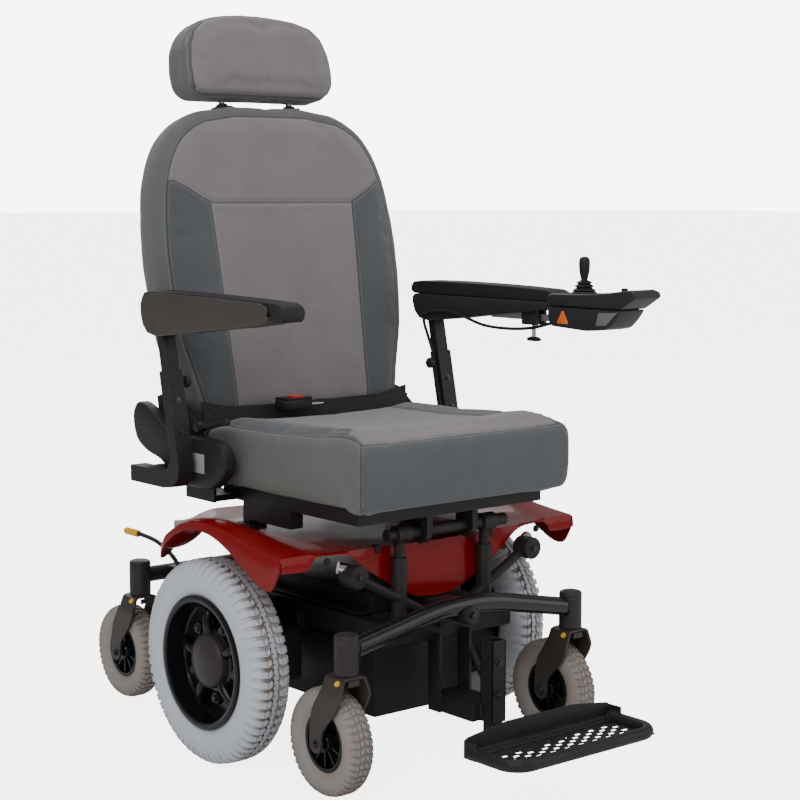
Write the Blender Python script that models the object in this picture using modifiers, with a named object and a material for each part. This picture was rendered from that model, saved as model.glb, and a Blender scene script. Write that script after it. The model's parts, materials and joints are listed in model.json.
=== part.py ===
"""Power wheelchair: a mid-wheel drive base under a captain's seat, steered by a joystick.

Metres, +Z up. The chair faces -Y and its joystick arm is on +X. Pieces are modelled in the
chair's frame, with Y = 0 over the drive axle and Z = 0 on the floor. The root empty then
moves the whole chair so that the middle of its footprint is the origin. Each moving body
hangs on an empty that stands on its joint's axis.
"""
import math

import bmesh
import bpy
from mathutils import Matrix, Vector

# ---- driving dimensions -------------------------------------------------------------
GAP = 0.0003                 # between pieces that touch
TYRE_R = 0.178               # 14 in drive tyre
TYRE_W = 0.078
WHEEL_X = 0.294              # centre line of a drive wheel
RIM_R = 0.110                # the bead seat, and the size of the rim
AXLE_R = 0.012
CASTER_R = 0.0905            # 7 in caster
CASTER_W = 0.049
CASTER_RIM_R = 0.050
CASTER_AXLE_R = 0.006
TRAIL = 0.0415               # swivel axis to caster axle
FRONT_PIVOT = (0.253, -0.314)
REAR_PIVOT = (0.197, 0.409)
BARREL_R = 0.0207
BARREL_H = 0.067
STEM_R = 0.0085
BOX_X = 0.102                # half width of the battery box
BOX_FRONT = -0.197
BOX_REAR = 0.190
BOX_FLOOR = 0.082
POST_R = 0.0088              # front seat post
POST_X = 0.096
POST_Y = -0.257
UPRIGHT = 0.011              # half side of a rear perforated upright
UPRIGHT_X = 0.178
UPRIGHT_Y = 0.057
SEAT_X = 0.243               # half width of the seat cushion
SEAT_FRONT = -0.327
SEAT_REAR = 0.118
SEAT_THICK = 0.116
BACK_RAKE = math.radians(10.0)
BACK_THICK = 0.095
BACK_LENGTH = 0.600
ARM_RAKE = math.radians(12.0)
ARM_W = 0.052
SLEEVE = (0.016, 0.012)      # half width and half depth of an arm sleeve
SLEEVE_WALL = 0.0027
SLEEVE_TOP = 0.261           # above the tilt pivot
FOOT_FRONT = 0.621           # axle to the footplate's front edge
FOOT_X = 0.168               # half width of the footplate
FOOT_REAR = -0.494
CABLE_R = 0.003

# ---- heights and places that follow from them ----------------------------------------
AXLE_Y = (FOOT_FRONT - (REAR_PIVOT[1] + TRAIL + CASTER_R)) / 2
FRAME_Z = max(2 * CASTER_R + 0.044, TYRE_R + 0.047)      # underside of the frame rails
BARREL_Z = FRAME_Z - 0.015
BEAM_PIVOT_Z = FRAME_Z + 0.047
RAIL_X = BOX_X + 0.023
MOTOR_X = WHEEL_X - 0.144
DECK_Z = max(2 * TYRE_R + 0.036, FRAME_Z + 0.167)
PIVOT_Z = DECK_Z + 0.021                                 # cross tube that the seat tilts on
PIVOT_Y = POST_Y - 0.005
PAN_Z = PIVOT_Z + 0.055                                  # top of the seat pan
SIDE_X = SEAT_X + 0.0105                                 # recliner side plates
COVER_X = SIDE_X + 0.0058
ARM_X = SEAT_X + 0.067                                   # centre line of an arm
RECLINE = (0.100, PIVOT_Z + 0.112)
ARM_TUBE = (0.205, PIVOT_Z + 0.0695)
SLEEVE_HEAD = (0.1095, PIVOT_Z + SLEEVE_TOP)
ARM_LIFT = 0.0726                                        # sleeve head to arm pivot
ARM_PIVOT = (SLEEVE_HEAD[0] + ARM_LIFT * math.sin(ARM_RAKE),
             SLEEVE_HEAD[1] + ARM_LIFT * math.cos(ARM_RAKE))
JOY_X = ARM_X - 0.015
JOY_Y = -0.298
JOY_Z = ARM_PIVOT[1] + 0.045
POD_REAR = -0.236
CLAMP_Y = -0.155
FOOT_POST_Y = -0.387
FOOT_Z = 0.097

# ---- finishes: colour, roughness, metallic -------------------------------------------
FINISHES = {
    "frame_black": ((0.012, 0.011, 0.011), 0.38, 0.4),
    "shroud_red": ((0.36, 0.008, 0.012), 0.12, 0.0),
    "tyre_grey": ((0.47, 0.50, 0.53), 0.75, 0.0),
    "caster_grey": ((0.33, 0.30, 0.28), 0.78, 0.0),
    "rim_dark": ((0.035, 0.030, 0.029), 0.30, 0.2),
    "plastic_black": ((0.016, 0.016, 0.018), 0.45, 0.0),
    "plastic_brown": ((0.055, 0.048, 0.044), 0.48, 0.0),
    "fabric_light": ((0.16, 0.15, 0.15), 0.9, 0.0),
    "fabric_dark": ((0.075, 0.085, 0.085), 0.9, 0.0),
    "pad_dark": ((0.03, 0.03, 0.033), 0.6, 0.0),
    "yellow": ((0.85, 0.45, 0.02), 0.4, 0.0),
    "button_red": ((0.75, 0.02, 0.01), 0.35, 0.0),
    "webbing": ((0.012, 0.012, 0.013), 0.85, 0.0),
    "bright_metal": ((0.55, 0.55, 0.56), 0.3, 1.0),
}

BODIES = {}                  # body name: (its empty, the empty's place in the chair's frame)
MATERIALS = {}


def clear_scene():
    for old in list(bpy.data.objects):
        bpy.data.objects.remove(old, do_unlink=True)


def collection(name):
    made = bpy.data.collections.new(name)
    bpy.context.scene.collection.children.link(made)
    return made


def finish_material(name):
    if name not in MATERIALS:
        colour, roughness, metallic = FINISHES[name]
        made = bpy.data.materials.new(name)
        made.use_nodes = True
        shader = made.node_tree.nodes["Principled BSDF"]
        shader.inputs["Base Color"].default_value = (*colour, 1.0)
        shader.inputs["Roughness"].default_value = roughness
        shader.inputs["Metallic"].default_value = metallic
        MATERIALS[name] = made
    return MATERIALS[name]


def add_body(name, at, parent=None):
    """An empty on the body's joint axis; `at` is in the chair's frame."""
    empty = bpy.data.objects.new(name + "_axis", None)
    parts.objects.link(empty)
    empty.location = Vector(at)
    if parent:
        empty.parent = BODIES[parent][0]
        empty.location = Vector(at) - BODIES[parent][1]
    BODIES[name] = (empty, Vector(at))


def place(piece, body, finish):
    """Hang a piece on its body and give it its finish."""
    empty, at = BODIES[body]
    piece.parent = empty
    piece.location = Vector(piece.location) - at
    piece.data.materials.append(finish_material(finish))
    for modifier in piece.modifiers:
        if modifier.type == "BOOLEAN":
            modifier.object.parent = empty
            modifier.object.location = Vector(modifier.object.location) - at
    return piece


# ---- shapes --------------------------------------------------------------------------
def link_mesh(name, mesh):
    piece = bpy.data.objects.new(name, mesh)
    parts.objects.link(piece)
    return piece


def mesh_from(bm, name):
    mesh = bpy.data.meshes.new(name)
    bm.to_mesh(mesh)
    bm.free()
    return mesh


def round_edges(piece, width, segments=2):
    bevel = piece.modifiers.new("round_edges", "BEVEL")
    bevel.width = width
    bevel.segments = segments
    bevel.limit_method = "ANGLE"
    return piece


def box(name, low, high, edge=0.0, tilt=None):
    """A box between two corners; tilt is a matrix that turns it afterwards."""
    bm = bmesh.new()
    bmesh.ops.create_cube(bm, size=1.0)
    size = [b - a for a, b in zip(low, high)]
    middle = [(a + b) / 2 for a, b in zip(low, high)]
    bmesh.ops.scale(bm, vec=size, verts=bm.verts)
    bmesh.ops.translate(bm, vec=middle, verts=bm.verts)
    if tilt:
        bmesh.ops.transform(bm, matrix=tilt, verts=bm.verts)
    piece = link_mesh(name, mesh_from(bm, name))
    if edge:
        round_edges(piece, edge, 1)
    return piece


def rod(name, start, end, radius, sides=16, end_radius=None):
    """A round bar from start to end."""
    start, end = Vector(start), Vector(end)
    along = end - start
    bm = bmesh.new()
    bmesh.ops.create_cone(bm, cap_ends=True, segments=sides, radius1=radius,
                          radius2=radius if end_radius is None else end_radius,
                          depth=along.length)
    turn = Vector((0, 0, 1)).rotation_difference(along.normalized()).to_matrix().to_4x4()
    bmesh.ops.transform(bm, matrix=Matrix.Translation((start + end) / 2) @ turn,
                        verts=bm.verts)
    return link_mesh(name, mesh_from(bm, name))


def as_mesh(curve_object):
    """The curve's solid as a mesh with its caps welded."""
    bpy.context.view_layer.update()
    graph = bpy.context.evaluated_depsgraph_get()
    mesh = bpy.data.meshes.new_from_object(curve_object.evaluated_get(graph))
    bm = bmesh.new()
    bm.from_mesh(mesh)
    bmesh.ops.remove_doubles(bm, verts=bm.verts, dist=0.00001)
    bmesh.ops.recalc_face_normals(bm, faces=bm.faces)
    bm.to_mesh(mesh)
    bm.free()
    name = curve_object.name
    bpy.data.objects.remove(curve_object, do_unlink=True)
    mesh.name = name
    return link_mesh(name, mesh)


def tube(name, points, radius, resolution=2):
    """A bent round tube through points."""
    curve = bpy.data.curves.new(name, "CURVE")
    curve.dimensions = "3D"
    curve.bevel_depth = radius
    curve.bevel_resolution = resolution
    curve.use_fill_caps = True
    spline = curve.splines.new("POLY")
    spline.points.add(len(points) - 1)
    for slot, point in zip(spline.points, points):
        slot.co = (*point, 1.0)
    piece = bpy.data.objects.new(name, curve)
    parts.objects.link(piece)
    return as_mesh(piece)


def smooth_route(points, steps=4):
    """Points along a Catmull-Rom curve through the given ones."""
    knots = [Vector(p) for p in points]
    knots = [2 * knots[0] - knots[1]] + knots + [2 * knots[-1] - knots[-2]]
    route = []
    for i in range(1, len(knots) - 2):
        p0, p1, p2, p3 = knots[i - 1:i + 3]
        for k in range(steps):
            t = k / steps
            route.append(0.5 * (2 * p1 + (p2 - p0) * t
                                + (2 * p0 - 5 * p1 + 4 * p2 - p3) * t * t
                                + (3 * p1 - p0 - 3 * p2 + p3) * t ** 3))
    return route + [knots[-2]]


PLANES = {                   # flat outline axes to the chair's axes, for each thickness axis
    "X": Matrix(((0, 0, 1, 0), (1, 0, 0, 0), (0, 1, 0, 0), (0, 0, 0, 1))),
    "Y": Matrix(((1, 0, 0, 0), (0, 0, -1, 0), (0, 1, 0, 0), (0, 0, 0, 1))),
    "Z": Matrix.Identity(4),
}


def plate(name, outline, low, high, axis="X", tilt=None):
    """A flat outline given thickness from low to high along axis.

    The outline is (y, z) for X, (x, z) for Y and (x, y) for Z.
    """
    curve = bpy.data.curves.new(name, "CURVE")
    curve.dimensions = "2D"
    curve.fill_mode = "BOTH"
    curve.extrude = (high - low) / 2
    spline = curve.splines.new("POLY")
    spline.points.add(len(outline) - 1)
    for slot, (u, v) in zip(spline.points, outline):
        slot.co = (u, v, 0.0, 1.0)
    spline.use_cyclic_u = True
    piece = bpy.data.objects.new(name, curve)
    parts.objects.link(piece)
    piece = as_mesh(piece)
    middle = (low + high) / 2
    shift = {"X": (middle, 0, 0), "Y": (0, middle, 0), "Z": (0, 0, middle)}[axis]
    matrix = Matrix.Translation(shift) @ PLANES[axis]
    piece.data.transform(tilt @ matrix if tilt else matrix)
    return piece


def arc(centre, radius, start, end, steps):
    """Outline points on an arc, in degrees from the first outline axis."""
    angles = [math.radians(start + (end - start) * k / steps) for k in range(steps + 1)]
    return [(centre[0] + radius * math.cos(a), centre[1] + radius * math.sin(a))
            for a in angles]


def turned(name, profile, centre, side, steps):
    """A profile of (radius, height) turned about X; height runs outwards on that side."""
    mesh = bpy.data.meshes.new(name)
    vertices = [(r, 0.0, h) for r, h in profile]
    closed = profile[0][0] > 0
    edges = [(i, i + 1) for i in range(len(profile) - 1)]
    if closed:
        edges.append((len(profile) - 1, 0))
    mesh.from_pydata(vertices, edges, [])
    piece = link_mesh(name, mesh)
    screw = piece.modifiers.new("turn", "SCREW")
    screw.axis = "Z"
    screw.steps = steps
    screw.render_steps = steps
    screw.use_merge_vertices = True
    screw.merge_threshold = 0.00001
    piece.rotation_euler = (0, side * math.pi / 2, 0)
    piece.location = centre
    return piece


def as_cutter(tool):
    parts.objects.unlink(tool)
    cutters.objects.link(tool)
    tool.hide_render = True
    tool.display_type = "WIRE"


def combine(piece, operation, tools):
    for tool in tools:
        boolean = piece.modifiers.new(operation.lower(), "BOOLEAN")
        boolean.operation = operation
        boolean.solver = "EXACT"
        boolean.object = tool
        as_cutter(tool)
    return piece


def join(piece, *tools):
    return combine(piece, "UNION", tools)


def cut(piece, *tools):
    return combine(piece, "DIFFERENCE", tools)


def both(make):
    """Call make once for each side: (name of the side, sign of X)."""
    for side, sign in (("left", -1), ("right", 1)):
        make(side, sign)


def span(sign, inner, outer):
    """Low and high X of something between two distances from the middle, on one side."""
    return sorted((sign * inner, sign * outer))


# ---- base ----------------------------------------------------------------------------
def make_chassis():
    z = FRAME_Z
    frame = box("chassis_frame", (-RAIL_X - 0.02, POST_Y - 0.018, z),
                (RAIL_X + 0.02, POST_Y + 0.017, z + 0.040))
    pieces = [box("rear_cross", (-RAIL_X - 0.02, 0.300, z), (RAIL_X + 0.02, 0.335, z + 0.040)),
              box("pivot_block", (-0.030, -0.285, z + 0.020), (0.030, -0.241, BEAM_PIVOT_Z + 0.019)),
              rod("beam_pin", (0, -0.250, BEAM_PIVOT_Z), (0, -0.3255, BEAM_PIVOT_Z), 0.008)]
    bores = []
    for sign in (-1, 1):
        low, high = span(sign, RAIL_X - 0.0125, RAIL_X + 0.0125)
        pieces.append(box("rail", (low, POST_Y - 0.005, z + 0.001), (high, 0.333, z + 0.039)))
        pieces.append(rod("post_sleeve", (sign * POST_X, POST_Y, z + 0.022),
                          (sign * POST_X, POST_Y, PIVOT_Z - 0.040), POST_R + 0.0047))
        bores.append(rod("post_bore", (sign * POST_X, POST_Y, z + 0.045),
                         (sign * POST_X, POST_Y, PIVOT_Z), POST_R + 0.0007))
        x = sign * UPRIGHT_X
        low, high = span(sign, RAIL_X, UPRIGHT_X)
        pieces.append(box("outrigger", (low, UPRIGHT_Y - 0.022, z + 0.010),
                          (high, UPRIGHT_Y + 0.028, z + 0.037)))
        half = UPRIGHT + 0.0045
        pieces.append(box("upright_sleeve", (x - half, UPRIGHT_Y - half, z + 0.0105),
                          (x + half, UPRIGHT_Y + half, DECK_Z - 0.052)))
        half = UPRIGHT + 0.0005
        bores.append(box("upright_bore", (x - half, UPRIGHT_Y - half, z),
                         (x + half, UPRIGHT_Y + half, DECK_Z)))
        low, high = span(sign, RAIL_X, MOTOR_X - GAP)
        pieces.append(box("motor_mount", (low, -0.040, TYRE_R + 0.032), (high, 0.034, z + 0.020)))
        pieces.append(tube("stay", [(sign * (2 * POST_X + 0.003), POST_Y, DECK_Z - 0.038),
                                    (sign * 0.02, POST_Y - 0.006, z + 0.035)], 0.009))
        pieces.append(rod("stay_cap", (sign * (2 * POST_X + 0.003), POST_Y - 0.020, DECK_Z - 0.038),
                          (sign * (2 * POST_X + 0.003), POST_Y + 0.013, DECK_Z - 0.038), 0.020))
        low, high = span(sign, 0.0305, 0.0365)
        pieces.append(box("hanger", (low, -0.2925, FOOT_Z + 0.004), (high, -0.262, z + 0.012)))
    pieces.append(box("foot_receiver", (-0.0345, -0.3735, FOOT_Z + 0.005),
                      (0.0345, -0.264, FOOT_Z + 0.035)))
    pieces.append(box("foot_sleeve", (-0.0155, FOOT_POST_Y - 0.0155, FOOT_Z + 0.0052),
                      (0.0155, FOOT_POST_Y + 0.0155, FOOT_Z + 0.145)))
    bores.append(box("foot_bore", (-0.0125, FOOT_POST_Y - 0.0125, FOOT_Z - 0.02),
                     (0.0125, FOOT_POST_Y + 0.0125, FOOT_Z + 0.20)))
    join(frame, *pieces)
    cut(frame, *bores)
    place(frame, "chassis", "frame_black")


def make_batteries():
    lip = FRAME_Z + 0.040 + GAP
    top = lip + 0.035
    tray = box("battery_box", (-BOX_X, BOX_FRONT, BOX_FLOOR), (BOX_X, BOX_REAR, top))
    join(tray, box("lip", (-RAIL_X - 0.006, BOX_FRONT + 0.007, lip),
                   (RAIL_X + 0.006, BOX_REAR - 0.010, lip + 0.004)))
    wall = 0.004
    cut(tray, box("cavity", (-BOX_X + wall, BOX_FRONT + wall, BOX_FLOOR + wall),
                  (BOX_X - wall, BOX_REAR - wall, top + 0.01)))
    place(tray, "chassis", "plastic_black")
    middle = (BOX_FRONT + BOX_REAR) / 2
    inside = BOX_X - wall - 0.002
    floor = BOX_FLOOR + wall + GAP
    ends = (("battery_front", BOX_FRONT + wall + 0.002, middle - 0.001),
            ("battery_rear", middle + 0.001, BOX_REAR - wall - 0.002))
    for name, front, rear in ends:
        block = box(name, (-inside, front, floor), (inside, rear, top - 0.025), edge=0.004)
        place(block, "chassis", "plastic_black")
    module = box("power_module", (-0.075, BOX_REAR + 0.012, FRAME_Z - 0.040),
                 (0.075, 0.292, FRAME_Z + 0.032), edge=0.005)
    place(module, "chassis", "plastic_black")


def make_motor(side, sign):
    low, high = span(sign, MOTOR_X, WHEEL_X - 0.059)
    x = sign * (MOTOR_X + 0.040)
    motor = box("motor_" + side, (low, -0.060, TYRE_R - 0.050), (high, 0.090, TYRE_R + 0.052), edge=0.012)
    join(motor,
         rod("can", (x, 0.080, TYRE_R), (x, 0.250, TYRE_R), 0.040, 20),
         rod("axle", (sign * (MOTOR_X + 0.05), 0, TYRE_R), (sign * (WHEEL_X + 0.002), 0, TYRE_R), AXLE_R))
    place(motor, "chassis", "plastic_black")


def make_drive_wheel(side, sign):
    centre = (sign * WHEEL_X, 0, TYRE_R)
    body = "wheel_" + side
    add_body(body, centre, "chassis")
    bead = RIM_R - 2 * GAP
    lip = RIM_R + 0.0065
    seat = TYRE_W / 2 - 0.0118
    flange = TYRE_W / 2 - 0.0065
    inner = RIM_R - 0.0065
    bore = AXLE_R + 0.0005
    profile = [(0, 0.0335), (0.030, 0.0310), (0.0465, 0.021), (0.047, 0.004), (inner, 0.000),
               (inner, flange - 0.004), (inner + 0.003, flange + 0.004), (lip, flange + 0.004),
               (lip, flange), (bead, seat), (bead, -seat), (lip, -flange), (lip, -flange - 0.003),
               (inner, -flange - 0.003), (inner, -0.010), (0.030, -0.014), (0.030, -0.030),
               (bore, -0.030), (bore, 0.004), (0, 0.004)]
    rim = turned("drive_rim_" + side, profile, centre, sign, 24)
    place(rim, body, "rim_dark")
    half = TYRE_W / 2
    shoulder = [(RIM_R, half - 0.0122), (RIM_R + 0.0075, half - 0.0070), (RIM_R + 0.028, half - 0.001),
                (RIM_R + 0.046, half), (TYRE_R - 0.008, half - 0.006), (TYRE_R, half - 0.024)]
    section = shoulder + [(r, -h) for r, h in reversed(shoulder)]
    tyre = turned("drive_tyre_" + side, section, centre, sign, 24)
    place(tyre, body, "tyre_grey")


def make_front_beam():
    add_body("front_beam", (0, FRONT_PIVOT[1], BEAM_PIVOT_Z), "chassis")
    x, y = FRONT_PIVOT
    half = [(x, BARREL_Z + 0.038), (0.62 * x, BARREL_Z + 0.056), (0.27 * x, BARREL_Z + 0.073)]
    crown = BARREL_Z + 0.077
    knots = [(-u, y, z) for u, z in half] + [(0, y, crown)] + [(u, y, z) for u, z in reversed(half)]
    beam = tube("front_beam_arch", smooth_route(knots, 2), 0.0165, 2)
    beam.name = "front_beam"
    boss = rod("boss", (0, y - 0.022, BEAM_PIVOT_Z), (0, y + 0.024, BEAM_PIVOT_Z), 0.0168)
    tools = [boss]
    bores = [rod("boss_bore", (0, y - 0.0125, BEAM_PIVOT_Z), (0, y + 0.030, BEAM_PIVOT_Z), 0.0085)]
    for sign in (-1, 1):
        tools.append(barrel(sign * x, y))
        bores.append(barrel_bore(sign * x, y))
    join(beam, *tools)
    cut(beam, *bores)
    place(beam, "front_beam", "frame_black")


def barrel(x, y):
    return rod("barrel", (x, y, BARREL_Z), (x, y, BARREL_Z + BARREL_H), BARREL_R, 16)


def barrel_bore(x, y):
    return rod("stem_bore", (x, y, BARREL_Z - 0.01), (x, y, BARREL_Z + 0.054), STEM_R + 0.0007, 12)


def make_rear_carrier():
    x, y = REAR_PIVOT
    z = BARREL_Z + 0.036
    carrier = tube("rear_carrier", [(-x, y, z), (x, y, z)], 0.0150, 2)
    tools = []
    bores = []
    for sign in (-1, 1):
        low, high = span(sign, RAIL_X - 0.0125, RAIL_X + 0.0125)
        tools.append(box("carrier_arm", (low, 0.335 + GAP, FRAME_Z + 0.004), (high, y, FRAME_Z + 0.034)))
        tools.append(barrel(sign * x, y))
        bores.append(barrel_bore(sign * x, y))
    join(carrier, *tools)
    cut(carrier, *bores)
    place(carrier, "chassis", "frame_black")


def make_caster(place_name, x, y, parent):
    """Fork, rim and tyre of one caster; the fork swivels about the barrel at (x, y)."""
    swivel = "swivel_" + place_name
    roll = "caster_" + place_name
    axle = (x, y + TRAIL, CASTER_R)
    add_body(swivel, (x, y, BARREL_Z), parent)
    add_body(roll, axle, swivel)
    top = BARREL_Z - 0.0005
    inner = CASTER_W / 2 + 0.006
    outer = inner + 0.005
    fork = box("caster_fork_" + place_name, (x - outer, y - 0.022, top - 0.010),
               (x + outer, y + 0.026, top))
    leg = [(y - 0.0215, top - 0.0005), (y + 0.0255, top - 0.0005), (y + TRAIL + 0.004, top - 0.035)]
    leg += arc(axle[1:], 0.015, 5, -175, 4)
    leg.append((y - 0.0215, top - 0.036))
    tools = [plate("leg", leg, x + sign * (inner + outer) / 2 - 0.0025,
                   x + sign * (inner + outer) / 2 + 0.0025)
             for sign in (-1, 1)]
    tools.append(rod("axle", (x - outer - 0.005, *axle[1:]), (x + outer + 0.005, *axle[1:]),
                     CASTER_AXLE_R, 10))
    tools.append(rod("stem", (x, y, top - 0.005), (x, y, BARREL_Z + 0.052), STEM_R, 12))
    join(fork, *tools)
    place(fork, swivel, "frame_black")
    bead = CASTER_RIM_R - GAP
    half = CASTER_W / 2
    bore = CASTER_AXLE_R + 0.0004
    rim_side = [(bead, half - 0.009), (bead - 0.006, half - 0.009), (bead - 0.009, 0.004), (0.019, 0.004),
                (0.016, half - 0.005), (bore, half - 0.005)]
    section = rim_side + [(r, -h) for r, h in reversed(rim_side)]
    rim = turned("caster_rim_" + place_name, section[::-1], axle, 1, 16)
    place(rim, roll, "rim_dark")
    tyre_side = [(CASTER_RIM_R, half - 0.0085), (CASTER_RIM_R + 0.008, half - 0.0025),
                 (CASTER_RIM_R + 0.020, half),
                 (CASTER_R - 0.0075, half - 0.0035), (CASTER_R, half - 0.0155)]
    section = tyre_side + [(r, -h) for r, h in reversed(tyre_side)]
    tyre = turned("caster_tyre_" + place_name, section, axle, 1, 16)
    place(tyre, roll, "caster_grey")


def make_foot_support():
    add_body("footrest", (0, FOOT_POST_Y, FOOT_Z), "chassis")
    half = 0.012
    post = box("footrest_post", (-half, FOOT_POST_Y - half, FOOT_Z - 0.022),
               (half, FOOT_POST_Y + half, FOOT_Z + 0.130))
    join(post,
         box("reach", (-half + 0.001, FOOT_REAR + 0.004, FOOT_Z - 0.021),
             (half - 0.001, FOOT_POST_Y, FOOT_Z - 0.0045)),
         box("hinge_bar", (-0.070, FOOT_REAR + 0.0035, FOOT_Z - 0.018),
             (0.070, FOOT_REAR + 0.0155, FOOT_Z - 0.004)))
    place(post, "footrest", "frame_black")
    hinge = (0, FOOT_REAR, FOOT_Z)
    add_body("footplate", hinge, "footrest")
    front = -FOOT_FRONT
    outline = [(-FOOT_X, FOOT_REAR), (FOOT_X, FOOT_REAR), (FOOT_X, front + 0.030)]
    outline += arc((FOOT_X - 0.030, front + 0.030), 0.030, 0, -90, 3)[1:]
    outline += arc((-FOOT_X + 0.030, front + 0.030), 0.030, -90, -180, 3)
    tray = plate("footplate", outline, FOOT_Z, FOOT_Z + 0.024, "Z")
    rim = 0.009
    inside = [(-FOOT_X + rim, FOOT_REAR - rim), (FOOT_X - rim, FOOT_REAR - rim),
              (FOOT_X - rim, front + 0.030)]
    inside += arc((FOOT_X - 0.030, front + 0.030), 0.030 - rim, 0, -90, 3)[1:]
    inside += arc((-FOOT_X + 0.030, front + 0.030), 0.030 - rim, -90, -180, 3)
    join(tray, box("heel_flange", (-0.075, FOOT_REAR - rim, FOOT_Z + 0.020),
                   (0.075, FOOT_REAR - 0.004, FOOT_Z + 0.058)))
    cut(tray, plate("hollow", inside, FOOT_Z + 0.012, FOOT_Z + 0.040, "Z"))
    place(tray, "footplate", "plastic_black")


def make_freewheel_lever(side, sign):
    x = sign * (MOTOR_X + 0.030)
    y, z = 0.262, TYRE_R + 0.057
    body = "freewheel_" + side
    add_body(body, (x, y, z), "chassis")
    knots = [(x, y, z), (x, y + 0.040, z + 0.050), (x, y + 0.100, z + 0.078), (x, y + 0.165, z + 0.086),
             (x, y + 0.222, z + 0.086)]
    lever = tube("freewheel_lever_" + side, smooth_route(knots, 2), 0.0045)
    join(lever,
         rod("lever_boss", (x - 0.008, y, z), (x + 0.008, y, z), 0.010),
         rod("lever_grip", (x, y + 0.178, z + 0.086), (x, y + 0.225, z + 0.086), 0.0072))
    place(lever, body, "yellow")


# ---- shroud --------------------------------------------------------------------------
def between(table, value):
    """Straight-line reading of a table of (place, height)."""
    for (a, fa), (b, fb) in zip(table, table[1:]):
        if a <= value <= b:
            return fa + (fb - fa) * (value - a) / (b - a)
    return table[-1][1] if value > table[-1][0] else table[0][1]


# heights over the deck, from the front edge to the back
FENDER_CREST = [(-0.238, 0.006), (-0.150, 0.012), (-0.100, 0.022), (-0.050, 0.032), (0.0, 0.036),
                (0.050, 0.027), (0.100, -0.004), (0.136, -0.040), (0.250, -0.012)]
FENDER_LIP = [(-0.238, -0.021), (-0.215, -0.053), (-0.180, -0.050), (-0.132, -0.026), (-0.100, -0.006),
              (-0.050, 0.014), (0.0, 0.018), (0.050, 0.008), (0.100, -0.022), (0.136, -0.056),
              (0.250, -0.018)]
FENDER_REACH = [(-0.238, 1.0), (0.100, 1.0), (0.136, 0.97), (0.160, 0.82), (0.200, 0.73), (0.250, 0.66)]
# how far the crest takes over from the deck, from the middle outwards
FENDER_RISE = [(0.0, 0.0), (0.64, 0.0), (0.74, 0.5), (0.83, 0.92), (0.90, 1.0), (1.0, 0.86)]
APRON_DROP = [(0.0, 0.096), (0.045, 0.092), (0.094, 0.070), (0.148, 0.038), (0.195, 0.006), (0.262, 0.006),
              (0.270, 0.024), (0.34, 0.024)]
SHROUD_FRONT = -0.238
SHROUD_REAR = 0.250


def make_shroud():
    reach = WHEEL_X + TYRE_W / 2 - 0.001
    rows = [SHROUD_REAR, 0.180, 0.136, 0.100, 0.050, 0.0, -0.050, -0.100, -0.150, -0.205, SHROUD_FRONT]
    columns = [0.0, 0.15, 0.30, 0.45, 0.60, 0.74, 0.82, 0.90, 0.98]
    grid = []
    for y in rows:
        out = reach * between(FENDER_REACH, y)
        crest = between(FENDER_CREST, y)
        line = [(c * out, y, DECK_Z + crest * between(FENDER_RISE, c)) for c in columns]
        line.append((out, y, DECK_Z + between(FENDER_LIP, y)))
        grid.append(line)
    for drop in (0.35, 1.0):
        line = []
        for x, y, z in grid[len(rows) - 1][:-1]:
            line.append((x, y - 0.003 * drop, z - drop * between(APRON_DROP, x)))
        x, y, z = grid[len(rows) - 1][-1]
        line.append((x, y - 0.003 * drop, z - 0.003 * drop))
        grid.append(line)
    bm = bmesh.new()
    rings = [[bm.verts.new(point) for point in line] for line in grid]
    for upper, lower in zip(rings, rings[1:]):
        for k in range(len(upper) - 1):
            bm.faces.new((upper[k], lower[k], lower[k + 1], upper[k + 1]))
    bmesh.ops.recalc_face_normals(bm, faces=bm.faces)
    for face in bm.faces:
        face.smooth = True
    shroud = link_mesh("shroud", mesh_from(bm, "shroud"))
    mirror = shroud.modifiers.new("other_side", "MIRROR")
    mirror.merge_threshold = 0.0001
    skin = shroud.modifiers.new("skin", "SOLIDIFY")
    skin.thickness = 0.003
    skin.offset = -1.0
    half = UPRIGHT + 0.006
    holes = [box("upright_hole", (sign * UPRIGHT_X - half, UPRIGHT_Y - half, DECK_Z - 0.03),
                 (sign * UPRIGHT_X + half, UPRIGHT_Y + half, DECK_Z + 0.03)) for sign in (-1, 1)]
    cut(shroud, *holes)
    place(shroud, "chassis", "shroud_red")


# ---- seat support --------------------------------------------------------------------
def make_risers():
    add_body("seat_riser", (0, PIVOT_Y, PIVOT_Z), "chassis")
    front = rod("seat_riser_front", (-0.128, PIVOT_Y, PIVOT_Z), (0.138, PIVOT_Y, PIVOT_Z), 0.0105)
    tools = []
    for sign in (-1, 1):
        x = sign * POST_X
        tools.append(rod("seat_post", (x, POST_Y, FRAME_Z + 0.060), (x, POST_Y, PIVOT_Z), POST_R))
        tools.append(rod("clevis", (x - 0.014, PIVOT_Y, PIVOT_Z), (x + 0.014, PIVOT_Y, PIVOT_Z), 0.0155))
    join(front, *tools)
    place(front, "seat_riser", "frame_black")
    low = FRAME_Z + 0.020
    tie = PIVOT_Z + 0.004
    rear = box("seat_riser_rear", (-UPRIGHT_X, UPRIGHT_Y - 0.009, tie),
               (UPRIGHT_X, UPRIGHT_Y + 0.009, tie + 0.018))
    uprights = [box("upright", (sign * UPRIGHT_X - UPRIGHT, UPRIGHT_Y - UPRIGHT, low),
                    (sign * UPRIGHT_X + UPRIGHT, UPRIGHT_Y + UPRIGHT, tie + 0.021)) for sign in (-1, 1)]
    join(rear, *uprights)
    place(rear, "seat_riser", "frame_black")


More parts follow.
